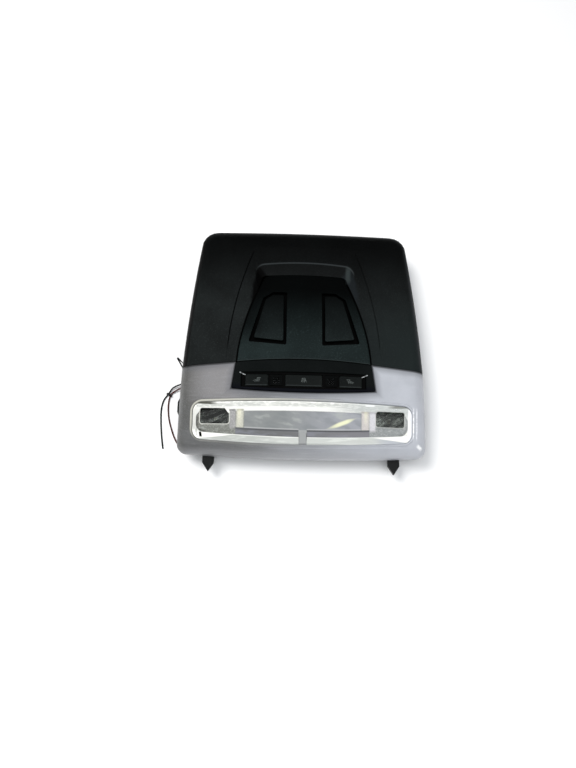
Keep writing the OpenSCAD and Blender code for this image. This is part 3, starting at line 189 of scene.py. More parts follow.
class Nodes:
    """Makes and links the nodes of one tree."""

    def __init__(self, tree):
        self.tree = tree

    def node(self, kind, **settings):
        made = self.tree.nodes.new(kind)
        for key, value in settings.items():
            setattr(made, key, value)
        return made

    def put(self, socket, value):
        """Links a socket to another node, or sets a plain value on it."""
        if isinstance(value, bpy.types.NodeSocket):
            self.tree.links.new(value, socket)
        else:
            socket.default_value = value

    def result(self, kind, *given, **settings):
        """Output of a new node whose first sockets get the given values."""
        made = self.node(kind, **settings)
        for socket, value in zip(made.inputs, given):
            self.put(socket, value)
        return made.outputs[0]

    def parts(self, vector):
        """The x, y and z of a vector."""
        made = self.node("ShaderNodeSeparateXYZ")
        self.put(made.inputs[0], vector)
        return made.outputs

    def math(self, operation, a, b=0.0):
        return self.result("ShaderNodeMath", a, b, operation=operation)

    def plus(self, a, b):
        return self.math("ADD", a, b)

    def minus(self, a, b):
        return self.math("SUBTRACT", a, b)

    def least(self, a, b):
        return self.math("MINIMUM", a, b)

    def most(self, a, b):
        return self.math("MAXIMUM", a, b)

    def size(self, value):
        """The value without its sign."""
        return self.math("ABSOLUTE", value)

    def times(self, *values):
        product = values[0]
        for value in values[1:]:
            product = self.math("MULTIPLY", product, value)
        return product

    def affine(self, value, factor, offset):
        """The value times a factor, plus an offset."""
        return self.result("ShaderNodeMath", value, factor, offset, operation="MULTIPLY_ADD")

    def ramp(self, value, low, high, start=0.0, end=1.0, kind="SMOOTHSTEP"):
        """Goes from start to end as value goes from low to high."""
        return self.result("ShaderNodeMapRange", value, low, high, start, end, interpolation_type=kind)

    def mix(self, share, first, second):
        """Goes from the first colour to the second as share goes from 0 to 1."""
        made = self.node("ShaderNodeMix", data_type="RGBA")
        self.put(made.inputs[0], share)
        self.put(made.inputs[6], first)
        self.put(made.inputs[7], second)
        return made.outputs[2]


class Shade(Nodes):
    """A material with its node tree, coloured by place in millimetres."""

    def __init__(self, name, colour, constants):
        self.material = bpy.data.materials.new(name)
        self.material.use_nodes = True
        super().__init__(self.material.node_tree)
        self.shader = self.tree.nodes["Principled BSDF"]
        self.colour = colour
        for socket, value in constants.items():
            self.shader.inputs[socket].default_value = value
        place = self.node("ShaderNodeVectorMath", operation="SCALE")
        self.put(place.inputs["Vector"], self.node("ShaderNodeTexCoord").outputs["Object"])
        place.inputs["Scale"].default_value = 1 / MM
        self.place = place.outputs[0]
        self.x, self.y, self.z = self.parts(self.place)

    def across(self, reach, left, right):
        """Goes from left to right over a reach on both sides of the middle."""
        return self.ramp(self.x, -reach, reach, left, right)

    def inside(self, value, span, soft):
        """1 within a span, 0 outside it, with soft ends."""
        up = self.ramp(value, span[0] - soft, span[0] + soft)
        down = self.ramp(value, span[1] - soft, span[1] + soft, 1.0, 0.0)
        return self.times(up, down)

    def patch(self, span_x, span_y, soft_x, soft_y):
        """A rectangle with soft edges."""
        return self.times(self.inside(self.x, span_x, soft_x), self.inside(self.y, span_y, soft_y))

    def rounded(self, side, level, radius):
        """Distance to an outline with rounded corners, from the distances to two of its edges."""
        across = self.plus(side, radius)
        along = self.plus(level, radius)
        out_x = self.most(across, 0)
        out_y = self.most(along, 0)
        reach = self.math("SQRT", self.plus(self.times(out_x, out_x), self.times(out_y, out_y)))
        sunk = self.least(self.most(across, along), 0)
        return self.plus(self.plus(reach, sunk), -radius)

    def depth(self, dip=0):
        """How far a point lies below the crowned face, or below the centre panel's face."""
        off = self.minus(self.y, PEAK_Y)
        far = self.most(off, 0)
        near = self.least(off, 0)
        drop = self.math("DIVIDE", self.times(self.x, self.x), CROSS_CURVE)
        drop = self.plus(drop, self.math("DIVIDE", self.times(far, far), FAR_CURVE))
        drop = self.plus(drop, self.math("DIVIDE", self.times(near, near), NEAR_CURVE))
        if dip:
            upper = self.math("DIVIDE", self.most(self.y, 0), PANEL_TOP_Y)
            drop = self.plus(drop, self.times(upper, upper, dip))
        return self.minus(CROWN_Z, self.plus(drop, self.z))

    def moved(self, stretch, turn):
        """The place, turned about z by an angle in degrees and then stretched."""
        turned = self.node("ShaderNodeVectorRotate", rotation_type="Z_AXIS")
        self.put(turned.inputs["Vector"], self.place)
        turned.inputs["Angle"].default_value = math.radians(turn)
        return self.result("ShaderNodeVectorMath", turned.outputs[0], stretch, operation="DIVIDE")

    def noise(self, size, detail=2.0, stretch=(1, 1, 1), turn=0.0):
        """Noise whose blotches are about size millimetres across."""
        made = self.node("ShaderNodeTexNoise")
        self.put(made.inputs["Vector"], self.moved(stretch, turn))
        made.inputs["Scale"].default_value = 1 / size
        made.inputs["Detail"].default_value = detail
        return made.outputs[0]

    def paint(self, mask, colour):
        """Lays a colour over the ones painted before, where the mask lets it."""
        self.colour = self.mix(mask, self.colour, colour)

    def bump(self, height, depth):
        """Fine relief, with its depth in millimetres."""
        made = self.node("ShaderNodeBump")
        made.inputs["Distance"].default_value = depth * MM
        self.put(made.inputs["Height"], height)
        return made.outputs[0]

    def finish(self, rough, normal=None):
        """Sets the painted colour and the finish on the shader and gives the material."""
        self.put(self.shader.inputs["Base Color"], self.colour)
        self.put(self.shader.inputs["Roughness"], rough)
        if normal:
            self.put(self.shader.inputs["Normal"], normal)
        return self.material


# Dark plastics: spans of place, depth or distance, over which each tone, painted shade or painted highlight
# comes in

# Near black, used below only for painted shade
BLACK = tone(1, 1, 1)
PANEL_FLARE = (PANEL_TOP_Y, PANEL_TOP_HALF_W, PANEL_LOW_HALF_W, PANEL_SIDE_POWER)
CREASE_FLARE = (CREASE_TOP_Y, CREASE_TOP_HALF_W, CREASE_LOW_HALF_W, CREASE_SIDE_POWER)
COVER_LIT_X = (10, 110)
COVER_LIT_Y = (70, -10)
COVER_SHADE_Y = (30, 112)
WALL_EDGE = (-2, 2)
WALL_DEPTH = (1.3, 2.4)
SILL_EDGE = (-3.5, 2.5)
SILL_DEPTH = (0.8, 1.4)
CREST_HIGHLIGHT = (-0.8, 0.5)
CREST_X = (-52, -42)
CREST_Y = (72, 80)
CORNER_HIGHLIGHT = ((42.5, 47), (68, 84))
CORNER_HIGHLIGHT_DEPTH = (0.6, 1.6)
CREASE_LINE = (-0.6, 0.4)
CREASE_Y = (-5, 99)
SHUT_LINE = (-0.5, 0.8)
SHUT_LINE_Y = (-23, PANEL_TOP_Y - 4)
PANEL_SHADE_Y = (-12, 60)
PANEL_LEFT_SHADE_X = (-30, -60)
PANEL_LEFT_SHADE_Y = (-8, 20)
PANEL_GAP_SHADE = (-1.2, -0.7)
PANEL_LOW_HIGHLIGHT = (1.4, 0.7)
STRIP_BLUE_Y = (-41, -48)
STRIP_SEAM_SHADE = (-1.1, -0.5)
STRIP_RECESS_SHADE = (0.5, 1.2)
BUTTON_LOW_HIGHLIGHT = (1.1, 0.5)


def grained(name, dark, light, grain=0.9, specular=0.15):
    """Moulded plastic with patchy colour and the specks of its fine grain."""
    shade = Shade(name, dark, {"Specular IOR Level": specular})
    shade.grain = shade.noise(grain, 2)
    shade.paint(shade.ramp(shade.noise(38, 3), 0.3, 0.7), light)
    shade.paint(shade.ramp(shade.grain, 0.55, 0.72, 0, 0.5), scaled(light, 3))
    return shade


def moulded(shade, rough=(0.42, 0.5), depth=0.03):
    """Finishes a grained plastic with patchy gloss and its fine relief."""
    roughness = shade.ramp(shade.noise(16, 3), 0.3, 0.7, *rough)
    return shade.finish(roughness, shade.bump(shade.grain, depth))


def plastic(name, dark, light, rough=(0.5, 0.57), grain=0.9, depth=0.04, specular=0.25):
    return moulded(grained(name, dark, light, grain, specular), rough, depth)


def flare_distance(shade, top_y, top_half, low_half, power):
    """How far a point lies outside two sides that flare towards the switch strip."""
    length = top_y - STRIP_TOP_Y
    along = shade.affine(shade.y, 1 / length, -STRIP_TOP_Y / length)
    flare = shade.math("POWER", shade.most(along, 0), power)
    return shade.minus(shade.size(shade.x), shade.affine(flare, top_half - low_half, low_half))


def strip_top_distance(shade):
    """How far a point lies above the bowed seam between the centre panel and the switch strip."""
    bow = shade.times(shade.x, shade.x, STRIP_TOP_BOW / PANEL_LOW_HALF_W ** 2)
    return shade.plus(shade.plus(shade.y, bow), -STRIP_TOP_Y - STRIP_TOP_BOW)


def paint_recess_shade(shade):
    """Painted shade: the steep walls round the panel are black on the left, and the sill behind it is dark.
    """
    side = shade.minus(shade.size(shade.x), PANEL_TOP_HALF_W)
    behind = shade.minus(shade.y, PANEL_TOP_Y)
    beside = shade.minus(shade.times(side, RIM_CORNER_SLOPE), behind)
    depth = shade.depth()
    wall = shade.times(shade.ramp(beside, *WALL_EDGE), shade.ramp(depth, *WALL_DEPTH))
    shade.paint(shade.times(wall, shade.across(4, 1, 0)), BLACK)
    shade.paint(shade.times(wall, shade.across(4, 0, 0.6)), tone(26, 30, 33))
    # Painted shade on the sill behind the panel
    sill = shade.times(shade.ramp(depth, *SILL_DEPTH), shade.ramp(behind, *SILL_EDGE, 0, 0.2))
    shade.paint(sill, BLACK)


def paint_recess_highlights(shade):
    """Painted highlights: a thin light line along the upper edge of the recess, and a light patch at its
    right corner.
    """
    bow = shade.times(shade.x, shade.x, RIM_TOP_BOW)
    top = shade.plus(shade.plus(shade.y, bow), -RIM_TOP_Y)
    side = shade.minus(shade.size(shade.x), RIM_TOP_HALF_W)
    line = shade.inside(shade.rounded(side, top, RIM_CORNER_R), CREST_HIGHLIGHT, 0.4)
    line = shade.times(line, shade.ramp(shade.y, *CREST_Y), shade.ramp(shade.x, *CREST_X, 0, 0.8))
    shade.paint(line, tone(46, 50, 51))
    deep = shade.ramp(shade.depth(), *CORNER_HIGHLIGHT_DEPTH, 0, 0.7)
    shade.paint(shade.times(shade.patch(*CORNER_HIGHLIGHT, 1.5, 4), deep), tone(50, 56, 56))


def paint_shade_lines(shade):
    """Painted shade: dark lines along both creases and along the gap round the centre panel."""
    crease = shade.inside(flare_distance(shade, *CREASE_FLARE), CREASE_LINE, 0.4)
    crease = shade.times(crease, shade.inside(shade.y, CREASE_Y, 5), shade.across(20, 0.95, 0.45))
    shade.paint(crease, BLACK)
    shut = shade.inside(flare_distance(shade, *PANEL_FLARE), SHUT_LINE, 0.3)
    shade.paint(shade.times(shut, shade.inside(shade.y, SHUT_LINE_Y, 2)), BLACK)


def cover_plastic():
    """Grained plastic, with painted light near the lamp and painted shade that makes it black towards the
    far end.
    """
    shade = grained("cover_plastic", tone(19, 21, 21), tone(26, 29, 29), specular=0.08)
    # Painted light: lighter towards the right near the lamp
    right = shade.ramp(shade.x, *COVER_LIT_X)
    shade.paint(shade.times(right, shade.ramp(shade.y, *COVER_LIT_Y, 0, 0.6)), tone(32, 39, 39))
    # Painted shade: black towards the far end
    shade.paint(shade.ramp(shade.y, *COVER_SHADE_Y, 0, 0.85), BLACK)
    paint_recess_shade(shade)
    paint_recess_highlights(shade)
    paint_shade_lines(shade)
    return moulded(shade)


def panel_plastic(name, dark, light, deep):
    """Grained plastic, with painted shade that makes it black towards its far end and deep in a well."""
    shade = grained(name, dark, light, specular=0.08)
    shade.paint(shade.ramp(shade.y, *PANEL_SHADE_Y, 0, 0.95), BLACK)
    # Painted shade: darker at the left, deep in the wells and along the side edges
    left = shade.times(shade.ramp(shade.x, *PANEL_LEFT_SHADE_X), shade.ramp(shade.y, *PANEL_LEFT_SHADE_Y, 0, 0.7))
    shade.paint(left, BLACK)
    shade.paint(shade.ramp(shade.depth(PANEL_DIP), *deep), BLACK)
    shade.paint(shade.ramp(flare_distance(shade, *PANEL_FLARE), *PANEL_GAP_SHADE, 0, 0.9), BLACK)
    # Painted highlight along the lower edge, by the switch strip
    shade.paint(shade.ramp(strip_top_distance(shade), *PANEL_LOW_HIGHLIGHT, 0, 0.8), tone(44, 50, 50))
    return moulded(shade)


def strip_plastic():
    """Smoother near black plastic, with painted shade that makes it blacker in the recess round the buttons
    and along the upper seam.
    """
    shade = grained("strip_plastic", tone(7, 10, 10), tone(12, 15, 15), 0.4, 0.07)
    shade.paint(shade.ramp(shade.y, *STRIP_BLUE_Y, 0, 0.8), tone(5, 6, 13))
    shade.paint(shade.ramp(strip_top_distance(shade), *STRIP_SEAM_SHADE, 0, 0.9), BLACK)
    shade.paint(shade.ramp(shade.depth(), *STRIP_RECESS_SHADE), BLACK)
    return moulded(shade, (0.36, 0.46), 0.008)


def button_plastic():
    """Smooth dark plastic with a painted highlight along its lower edge."""
    shade = grained("button_plastic", tone(10, 13, 13), tone(17, 20, 19), 0.6, 0.12)
    above = shade.minus(shade.y, BUTTON_Y - BUTTON_HALF_L)
    shade.paint(shade.ramp(above, *BUTTON_LOW_HIGHLIGHT, 0, 0.8), tone(50, 54, 54))
    return moulded(shade, (0.42, 0.5), 0.008)


def metal(name, colour, rough=(0.25, 0.4)):
    """Finely brushed metal with darker patches."""
    shade = Shade(name, colour, {"Metallic": 1.0})
    brushed = shade.noise(0.8, 3, (1, 6, 1))
    shade.paint(shade.ramp(shade.noise(5, 2), 0.4, 0.7), scaled(colour, 0.7))
    return shade.finish(shade.ramp(brushed, 0.3, 0.7, *rough), shade.bump(brushed, 0.004))


# Pearl paint of the bezel, with its painted light, highlights and shade: spans as above

LIT_PATCH_Y = (-72, -50)
LIT_PATCH_LEFT_X = (-122, -88)
LIT_PATCH_RIGHT_X = (-35, -70)
COOL_X = (-100, 115)
BRUSHED_X = (-100, 0)
LIP_HIGHLIGHT_REACH = (0.2, 2)
LIP_HIGHLIGHT_Y = (-100, -80)
LIP_SHADOW_REACH = (0, 0.5)
LIP_SHADOW_X = (20, 60)
LOW_EDGE_LIGHT_Y = (-101, -113)
RIGHT_EDGE_LIGHT_X = (108, 121)
SEAM_SHADE = (9, 1.5)
SEAM_SHADE_LINE = (2.5, 0.8)
GLEAM_LINES = [(107.2, 0.6), (110.6, 0.4)]
GLEAM_LINES_Y = (-92, -64)
GLINT = (113.6, -99.6)
GLINT_LEAN = (0.65, 0.76)
GLINT_WIDTH = (2.6, 0.4)
GLINT_LENGTH = (4.2, 1)


def lens_levels(shade):
    """Heights across the lens, counted along its bowed lower and upper edges."""
    across = shade.math("DIVIDE", shade.x, LENS_HALF_W)
    bow = shade.times(across, across)
    low = shade.minus(shade.y, shade.times(bow, LENS_LOW_BOW))
    high = shade.plus(shade.y, shade.times(bow, LENS_TOP_BOW))
    return low, high


def lens_distance(shade, side):
    """How far a point lies outside the outline of the lens."""
    low, high = lens_levels(shade)
    level = shade.most(shade.minus(high, LENS_TOP_Y), shade.minus(LENS_LOW_Y, low))
    return shade.rounded(shade.minus(side, LENS_HALF_W), level, LENS_CORNER_R)


def seam_distance(shade, side):
    """How far a point of the bezel lies from the switch strip and from the dark cover."""
    strip_half = shade.affine(shade.y, -STRIP_SLOPE, STRIP_TOP_HALF_W + STRIP_SLOPE * STRIP_TOP_Y)
    bow = shade.times(shade.x, shade.x, STRIP_LOW_BOW / STRIP_LOW_HALF_W ** 2)
    below = shade.minus(shade.plus(bow, STRIP_LOW_Y), shade.y)
    junction = shade.affine(side, -JUNCTION_SLOPE, STRIP_TOP_Y + JUNCTION_SLOPE * STRIP_TOP_HALF_W)
    from_strip = shade.most(shade.minus(side, strip_half), below)
    return shade.least(from_strip, shade.minus(junction, shade.y))


def paint_pearl_light_and_streaks(shade):
    """Painted light and shade, warm and dark at the left and cool and light at the right; with brushed
    streaks and flakes.
    """
    # Painted light: a lighter patch at the upper left
    patch = shade.times(shade.ramp(shade.x, *LIT_PATCH_LEFT_X), shade.ramp(shade.x, *LIT_PATCH_RIGHT_X, 0, 0.75))
    shade.paint(shade.times(shade.ramp(shade.y, *LIT_PATCH_Y), patch), tone(130, 128, 129))
    # Painted reflection: lighter and cooler towards the right
    shade.paint(shade.ramp(shade.x, *COOL_X), tone(180, 183, 190))
    shade.paint(shade.ramp(shade.noise(30, 3), 0.35, 0.7, 0, 0.22), tone(118, 120, 125))
    brushed = shade.ramp(shade.noise(2.5, 3, (12, 1, 1)), 0.5, 0.75)
    shade.paint(shade.times(brushed, shade.ramp(shade.x, *BRUSHED_X, 0.06, 0.25)), tone(186, 186, 192))
    shade.paint(shade.ramp(shade.noise(0.35, 1), 0.5, 0.75, 0, 0.18), tone(205, 207, 212))


def paint_pearl_edge_light_and_shade(shade, side):
    """Painted highlight on the pale lip round the lens, a painted shadow line at its right end, and painted
    light on the rolled edges.
    """
    beyond = lens_distance(shade, side)
    lip = shade.times(shade.inside(beyond, LIP_HIGHLIGHT_REACH, 0.5), shade.ramp(shade.y, *LIP_HIGHLIGHT_Y, 0.15, 1))
    shade.paint(shade.times(lip, shade.across(60, 0.9, 0)), tone(186, 185, 174))
    shadow = shade.inside(beyond, LIP_SHADOW_REACH, 0.3)
    shade.paint(shade.times(shadow, shade.ramp(shade.x, *LIP_SHADOW_X, 0, 0.3)), tone(84, 88, 92))
    shade.paint(shade.ramp(shade.y, *LOW_EDGE_LIGHT_Y, 0, 0.34), tone(188, 188, 192))
    shade.paint(shade.ramp(shade.x, *RIGHT_EDGE_LIGHT_X, 0, 0.25), tone(222, 224, 230))


def corner_glint(shade):
    """A short slanting painted glint on the rolled corner."""
    lean_x, lean_y = GLINT_LEAN
    right = shade.minus(shade.x, GLINT[0])
    up = shade.minus(shade.y, GLINT[1])
    across = shade.size(shade.plus(shade.times(right, lean_x), shade.times(up, lean_y)))
    along = shade.size(shade.plus(shade.times(right, lean_y), shade.times(up, -lean_x)))
    return shade.times(shade.ramp(across, *GLINT_WIDTH), shade.ramp(along, *GLINT_LENGTH))


def paint_gleams(shade):
    """Painted highlights: two broken upright gleams and a glint on the rolled right end."""
    spark = shade.noise(1.2, 2, (1, 2.5, 1))
    for x, width in GLEAM_LINES:
        line = shade.patch((x - width, x + width), GLEAM_LINES_Y, 0.4, 3)
        shade.paint(shade.times(line, shade.ramp(spark, 0.35, 0.6, 0.4, 1)), tone(250, 251, 254))
    shade.paint(shade.times(corner_glint(shade), shade.ramp(spark, 0.3, 0.55, 0.3, 1)), tone(255, 255, 255))


def pearl_paint():
    """Satin pearl finish with painted light and shade, darkened by painted shade towards the switch strip
    and the dark cover.
    """
    shade = Shade("pearl_paint", tone(74, 74, 71), {"Specular IOR Level": 0.5})
    side = shade.size(shade.x)
    paint_pearl_light_and_streaks(shade)
    paint_pearl_edge_light_and_shade(shade, side)
    paint_gleams(shade)
    # Painted shade along the seams with the switch strip and the dark cover
    seam = seam_distance(shade, side)
    shade.paint(shade.ramp(seam, *SEAM_SHADE, 0, 0.48), tone(76, 78, 84))
    shade.paint(shade.ramp(seam, *SEAM_SHADE_LINE, 0, 0.85), tone(16, 17, 20))
    smudge = shade.ramp(shade.noise(11, 4, (2.5, 1, 1)), 0.3, 0.7, 0.34, 0.46)
    return shade.finish(smudge, shade.bump(shade.noise(0.5, 2), 0.004))


# The lens: places, and spans of x, of height and of the distance from the middle

UPPER_Y = (-72, -66)
UPPER_WHITE_Y = (-69.5, -64.2)
UPPER_WHITE_X = (60, 20)
UPPER_DULL_X = (20, 70)
UPPER_FLASH = ((60, 69), (-62.9, -61.7))
UPPER_GLINTS = ((86, 95), (-65.4, -63.8))
LOWER_Y = (-92, -92.8)
LOWER_EDGE_Y = (-93.3, -92.6)
LOWER_WARM_X = (-10, -50)
LOWER_COOL_X = (66, 84)
WEDGE_X = (62, 78)
WEDGE_Y = -83.3
WEDGE_SLOPE = 0.122
RING_X = (102, 103)
RING_HIGHLIGHT = ((103.1, 104.1), (-90, -66))
FLOOR_HALF_W = 102.4
FLOOR_LOW = -92.6
FLOOR_HIGH = -66.4
FLOOR_CORNER_R = 7
FLOOR_LEFT_REACH = 0.4
FLOOR_MIDDLE_DROP = 1.6
FLOOR_DROP_X = (74, 62)
FLOOR_COOL_X = (-70, 100)
FLOOR_RIM_X = (97.4, 98.6)
CORNER_X = (94, 101)
CORNER_Y = (-78, -83)
CORNER_EDGE = (-1.8, -0.2)
BAR_Y = (-87, -83)
OUTER_BAR_X = (64.8, 70.6)
INNER_BAR_X = (57, 64)
BRIGHT_BAR_X = (59.4, 62.8)
BRIGHT_BAR_Y = (-84, -68)
FROST_X = (-1, 56.6)
FROST_Y = (-86.6, -85.6)
FROST_COOL_X = (-30, 50)
SHELF_X = (4, 56.6)
SHELF_Y = (-87, -84.8)
STRIP_X = (4, 64.7)
STRIP_Y = (-92.4, -86)
STRIP_SHADOW_Y = (-87.4, -86)
STRIP_COOL_X = (-30, 60)
RIB_X = (-1, 3.9)
RIB_Y = (-101, -86)
GLEAM_PLACE = (38, -78.8)
GLEAM_SLOPE = 0.38
GLEAM_LEFT_X = (18, 36)
GLEAM_RIGHT_X = (55, 42)
GLEAM_HALF_W = 2.2
WINDOW = ((71, 99.4), (-81, -66.4))
WINDOW_CORNER_R = 2.4
WINDOW_LINE = (-0.2, 0.7)
WINDOW_LINE_Y = (-66, -70)
GLARE_X = (-60, -64)
GLARE_SLOPE = 1.1
GLARE_Y = 71.6
CRESCENT_Y = 66.6
CRESCENT_SLOPE = 0.064
CRESCENT_INNER_X = (80, 90)
CRESCENT_OUTER_X = (103.5, 101)
NICK_PLACE = (-98.2, -91)
NICK_SLOPE = 0.25
NICK_Y = (-93.9, -88.6)


class Lens(Shade):
    """Clear acrylic: bright bands round a frosted floor, with a clear window at each end."""

    def __init__(self):
        super().__init__("lens_acrylic", tone(220, 221, 216), {"IOR": 1.49, "Specular IOR Level": 0.5})
        self.side = self.size(self.x)
        self.low, self.high = lens_levels(self)

    def zone(self, side_span, level_span, soft):
        """Where the distance from the middle and the height over the lower edge lie in their spans."""
        return self.times(self.inside(self.side, side_span, soft), self.inside(self.low, level_span, soft))

    def upper_band(self):
        """Streaky and bright, whitest along the floor and duller towards the right, with a painted
        highlight spot.
        """
        streak = self.noise(3, 3, (7, 0.8, 1))
        self.paint(self.ramp(streak, 0.45, 0.7, 0, 0.6), tone(206, 208, 202))
        self.paint(self.ramp(streak, 0.5, 0.3, 0, 0.6), tone(252, 252, 244))
        upper = self.ramp(self.high, *UPPER_Y)
        mottle = self.noise(1.6, 3, (3, 1, 1))
        self.paint(self.times(upper, self.ramp(mottle, 0.46, 0.62, 0, 0.5)), tone(204, 206, 200))
        self.paint(self.times(upper, self.ramp(mottle, 0.5, 0.36, 0, 0.6)), tone(255, 255, 250))
        white = self.inside(self.high, UPPER_WHITE_Y, 0.8)
        self.paint(self.times(white, self.ramp(self.x, *UPPER_WHITE_X, 0, 0.9)), tone(255, 255, 250))
        self.paint(self.times(upper, self.ramp(self.x, *UPPER_DULL_X, 0, 0.55)), tone(188, 194, 194))
        # Painted highlight on the upper band
        self.paint(self.patch(*UPPER_FLASH, 1.5, 0.5), tone(250, 251, 250))

    def lower_band(self):
        """Pale grey, with a white wedge at each end and a thin white upper edge."""
        lower = self.ramp(self.low, *LOWER_Y)
        mottle = self.noise(4, 3, (5, 1, 1))
        self.paint(lower, tone(196, 199, 195))
        self.paint(self.times(lower, self.ramp(self.x, *LOWER_WARM_X, 0, 0.6)), tone(172, 175, 170))
        self.paint(self.times(lower, self.ramp(mottle, 0.5, 0.68, 0, 0.6)), tone(222, 226, 220))
        self.paint(self.times(lower, self.ramp(self.x, *LOWER_COOL_X, 0, 0.8)), tone(178, 182, 190))
        slant = self.affine(self.side, WEDGE_SLOPE, -WEDGE_Y)
        above = self.ramp(self.plus(self.y, slant), -0.7, 0.5)
        self.paint(self.times(lower, above, self.ramp(self.side, *WEDGE_X)), tone(246, 246, 240))
        self.paint(self.inside(self.low, LOWER_EDGE_Y, 0.25), tone(240, 241, 237))

    def ring_ends(self):
        """White round both ends, with a painted highlight line at the right one."""
        end = self.ramp(self.side, *RING_X)
        self.paint(end, tone(255, 255, 248))
        self.paint(self.times(end, self.across(20, 0, 1)), tone(236, 238, 242))
        self.paint(self.patch(*RING_HIGHLIGHT, 0.3, 2), tone(252, 253, 254))

    def floor_distance(self):
        """How far a point lies outside the floor, which reaches less high in the middle."""
        high = self.plus(self.high, self.ramp(self.side, *FLOOR_DROP_X, 0, FLOOR_MIDDLE_DROP))
        level = self.most(self.minus(FLOOR_LOW, self.low), self.minus(high, FLOOR_HIGH))
        reach = self.minus(self.side, self.across(20, FLOOR_LEFT_REACH, 0))
        return self.rounded(self.minus(reach, FLOOR_HALF_W), level, FLOOR_CORNER_R)

    def floor(self):
        """Grey floor with a darker rim at its ends and dark lower corners."""
        edge = self.floor_distance()
        floor = self.ramp(edge, 0.4, -0.4)
        self.paint(floor, tone(108, 110, 104))
        self.paint(self.times(floor, self.ramp(self.x, *FLOOR_COOL_X)), tone(136, 140, 140))
        rim = self.times(floor, self.ramp(self.side, *FLOOR_RIM_X))
        self.paint(self.times(rim, self.across(10, 1, 0)), tone(100, 100, 94))
        self.paint(self.times(rim, self.across(10, 0, 0.7)), tone(146, 148, 148))
        corner = self.times(
            self.inside(self.side, CORNER_X, 2), self.inside(edge, CORNER_EDGE, 0.4),
            self.ramp(self.y, *CORNER_Y), self.across(20, 1, 0.35))
        self.paint(corner, tone(60, 60, 54))
        grain = self.noise(2.2, 3, (2.5, 1, 1))
        self.paint(self.times(floor, self.ramp(grain, 0.5, 0.7, 0, 0.3)), tone(186, 189, 186))
        self.bars()
        fleck = self.noise(1.4, 2)
        self.paint(self.times(floor, self.ramp(fleck, 0.5, 0.66, 0, 0.12)), tone(232, 232, 226))
        self.paint(self.times(floor, self.ramp(fleck, 0.5, 0.34, 0, 0.12)), tone(96, 98, 96))
        return floor

    def bars(self):
        """Upright pale bars between the middle of the floor and each window."""
        below = self.ramp(self.high, FLOOR_HIGH + 0.4, FLOOR_HIGH - 0.4)
        tall = self.times(below, self.ramp(self.y, *BAR_Y))
        outer = self.times(tall, self.inside(self.side, OUTER_BAR_X, 1.1))
        self.paint(outer, tone(146, 145, 145))
        self.paint(self.times(outer, self.across(10, 0, 1)), tone(200, 199, 203))
        inner = self.times(tall, self.inside(self.side, INNER_BAR_X, 1.2))
        self.paint(inner, tone(184, 183, 170))
        self.paint(self.times(inner, self.across(10, 0, 1)), tone(190, 184, 181))
        bright = self.times(tall, self.inside(self.side, BRIGHT_BAR_X, 1.2))
        self.paint(self.times(bright, self.ramp(self.y, *BRIGHT_BAR_Y, 0, 0.75)), tone(216, 214, 192))

    def frosted(self, floor):
        """Cloudy middle of the floor, with a pale shelf along its lower edge and a painted gleam."""
        frost = self.times(floor, self.inside(self.side, FROST_X, 1.3), self.ramp(self.y, *FROST_Y))
        self.paint(frost, tone(124, 127, 127))
        self.paint(self.times(frost, self.ramp(self.x, *FROST_COOL_X, 0, 0.85)), tone(150, 152, 159))
        cloud = self.noise(7, 4, (2.6, 1.1, 1), 12)
        self.paint(self.times(frost, self.ramp(cloud, 0.5, 0.68, 0, 0.4)), tone(172, 176, 170))
        self.paint(self.times(frost, self.ramp(cloud, 0.5, 0.32, 0, 0.35)), tone(104, 110, 112))
        shelf = self.times(self.inside(self.side, SHELF_X, 1), self.inside(self.low, SHELF_Y, 0.5), frost)
        self.paint(self.times(shelf, 0.5), tone(184, 184, 184))
        self.paint(self.times(self.gleam(), frost), tone(228, 228, 190))

    def gleam(self):
        """A slanting yellowish painted gleam that tapers towards both ends."""
        rise = self.times(self.minus(self.x, GLEAM_PLACE[0]), GLEAM_SLOPE)
        off = self.size(self.minus(self.minus(self.y, GLEAM_PLACE[1]), rise))
        ends = self.times(self.ramp(self.x, *GLEAM_LEFT_X), self.ramp(self.x, *GLEAM_RIGHT_X))
        off = self.minus(off, self.times(ends, GLEAM_HALF_W))
        return self.times(self.ramp(off, 0.7, -1.2, 0, 0.9), ends)

    def strips(self):
        """A grey strip below the floor on each side of the upright rib in the middle."""
        strip = self.zone(STRIP_X, STRIP_Y, 0.25)
        mottle = self.noise(5, 3, (3, 1, 1))
        self.paint(strip, tone(98, 99, 100))
        self.paint(self.times(strip, self.ramp(mottle, 0.4, 0.65, 0, 0.7)), tone(122, 124, 134))
        self.paint(self.times(strip, self.ramp(self.x, *STRIP_COOL_X, 0, 0.6)), tone(128, 126, 132))
        self.paint(self.zone(STRIP_X, STRIP_SHADOW_Y, 0.3), tone(82, 83, 86))
        self.paint(self.zone(RIB_X, RIB_Y, 0.3), tone(150, 152, 152))

    def off_span(self, value, span):
        """How far a value lies outside a span."""
        middle = (span[0] + span[1]) / 2
        return self.minus(self.size(self.minus(value, middle)), span[1] - middle)

    def glare(self):
        """Where light hides the upper right corner of the left window."""
        slant = self.affine(self.x, GLARE_SLOPE, WINDOW[0][0] * GLARE_SLOPE + GLARE_Y)
        return self.times(self.ramp(self.plus(slant, self.y), -0.3, 0.3), self.ramp(self.x, *GLARE_X))

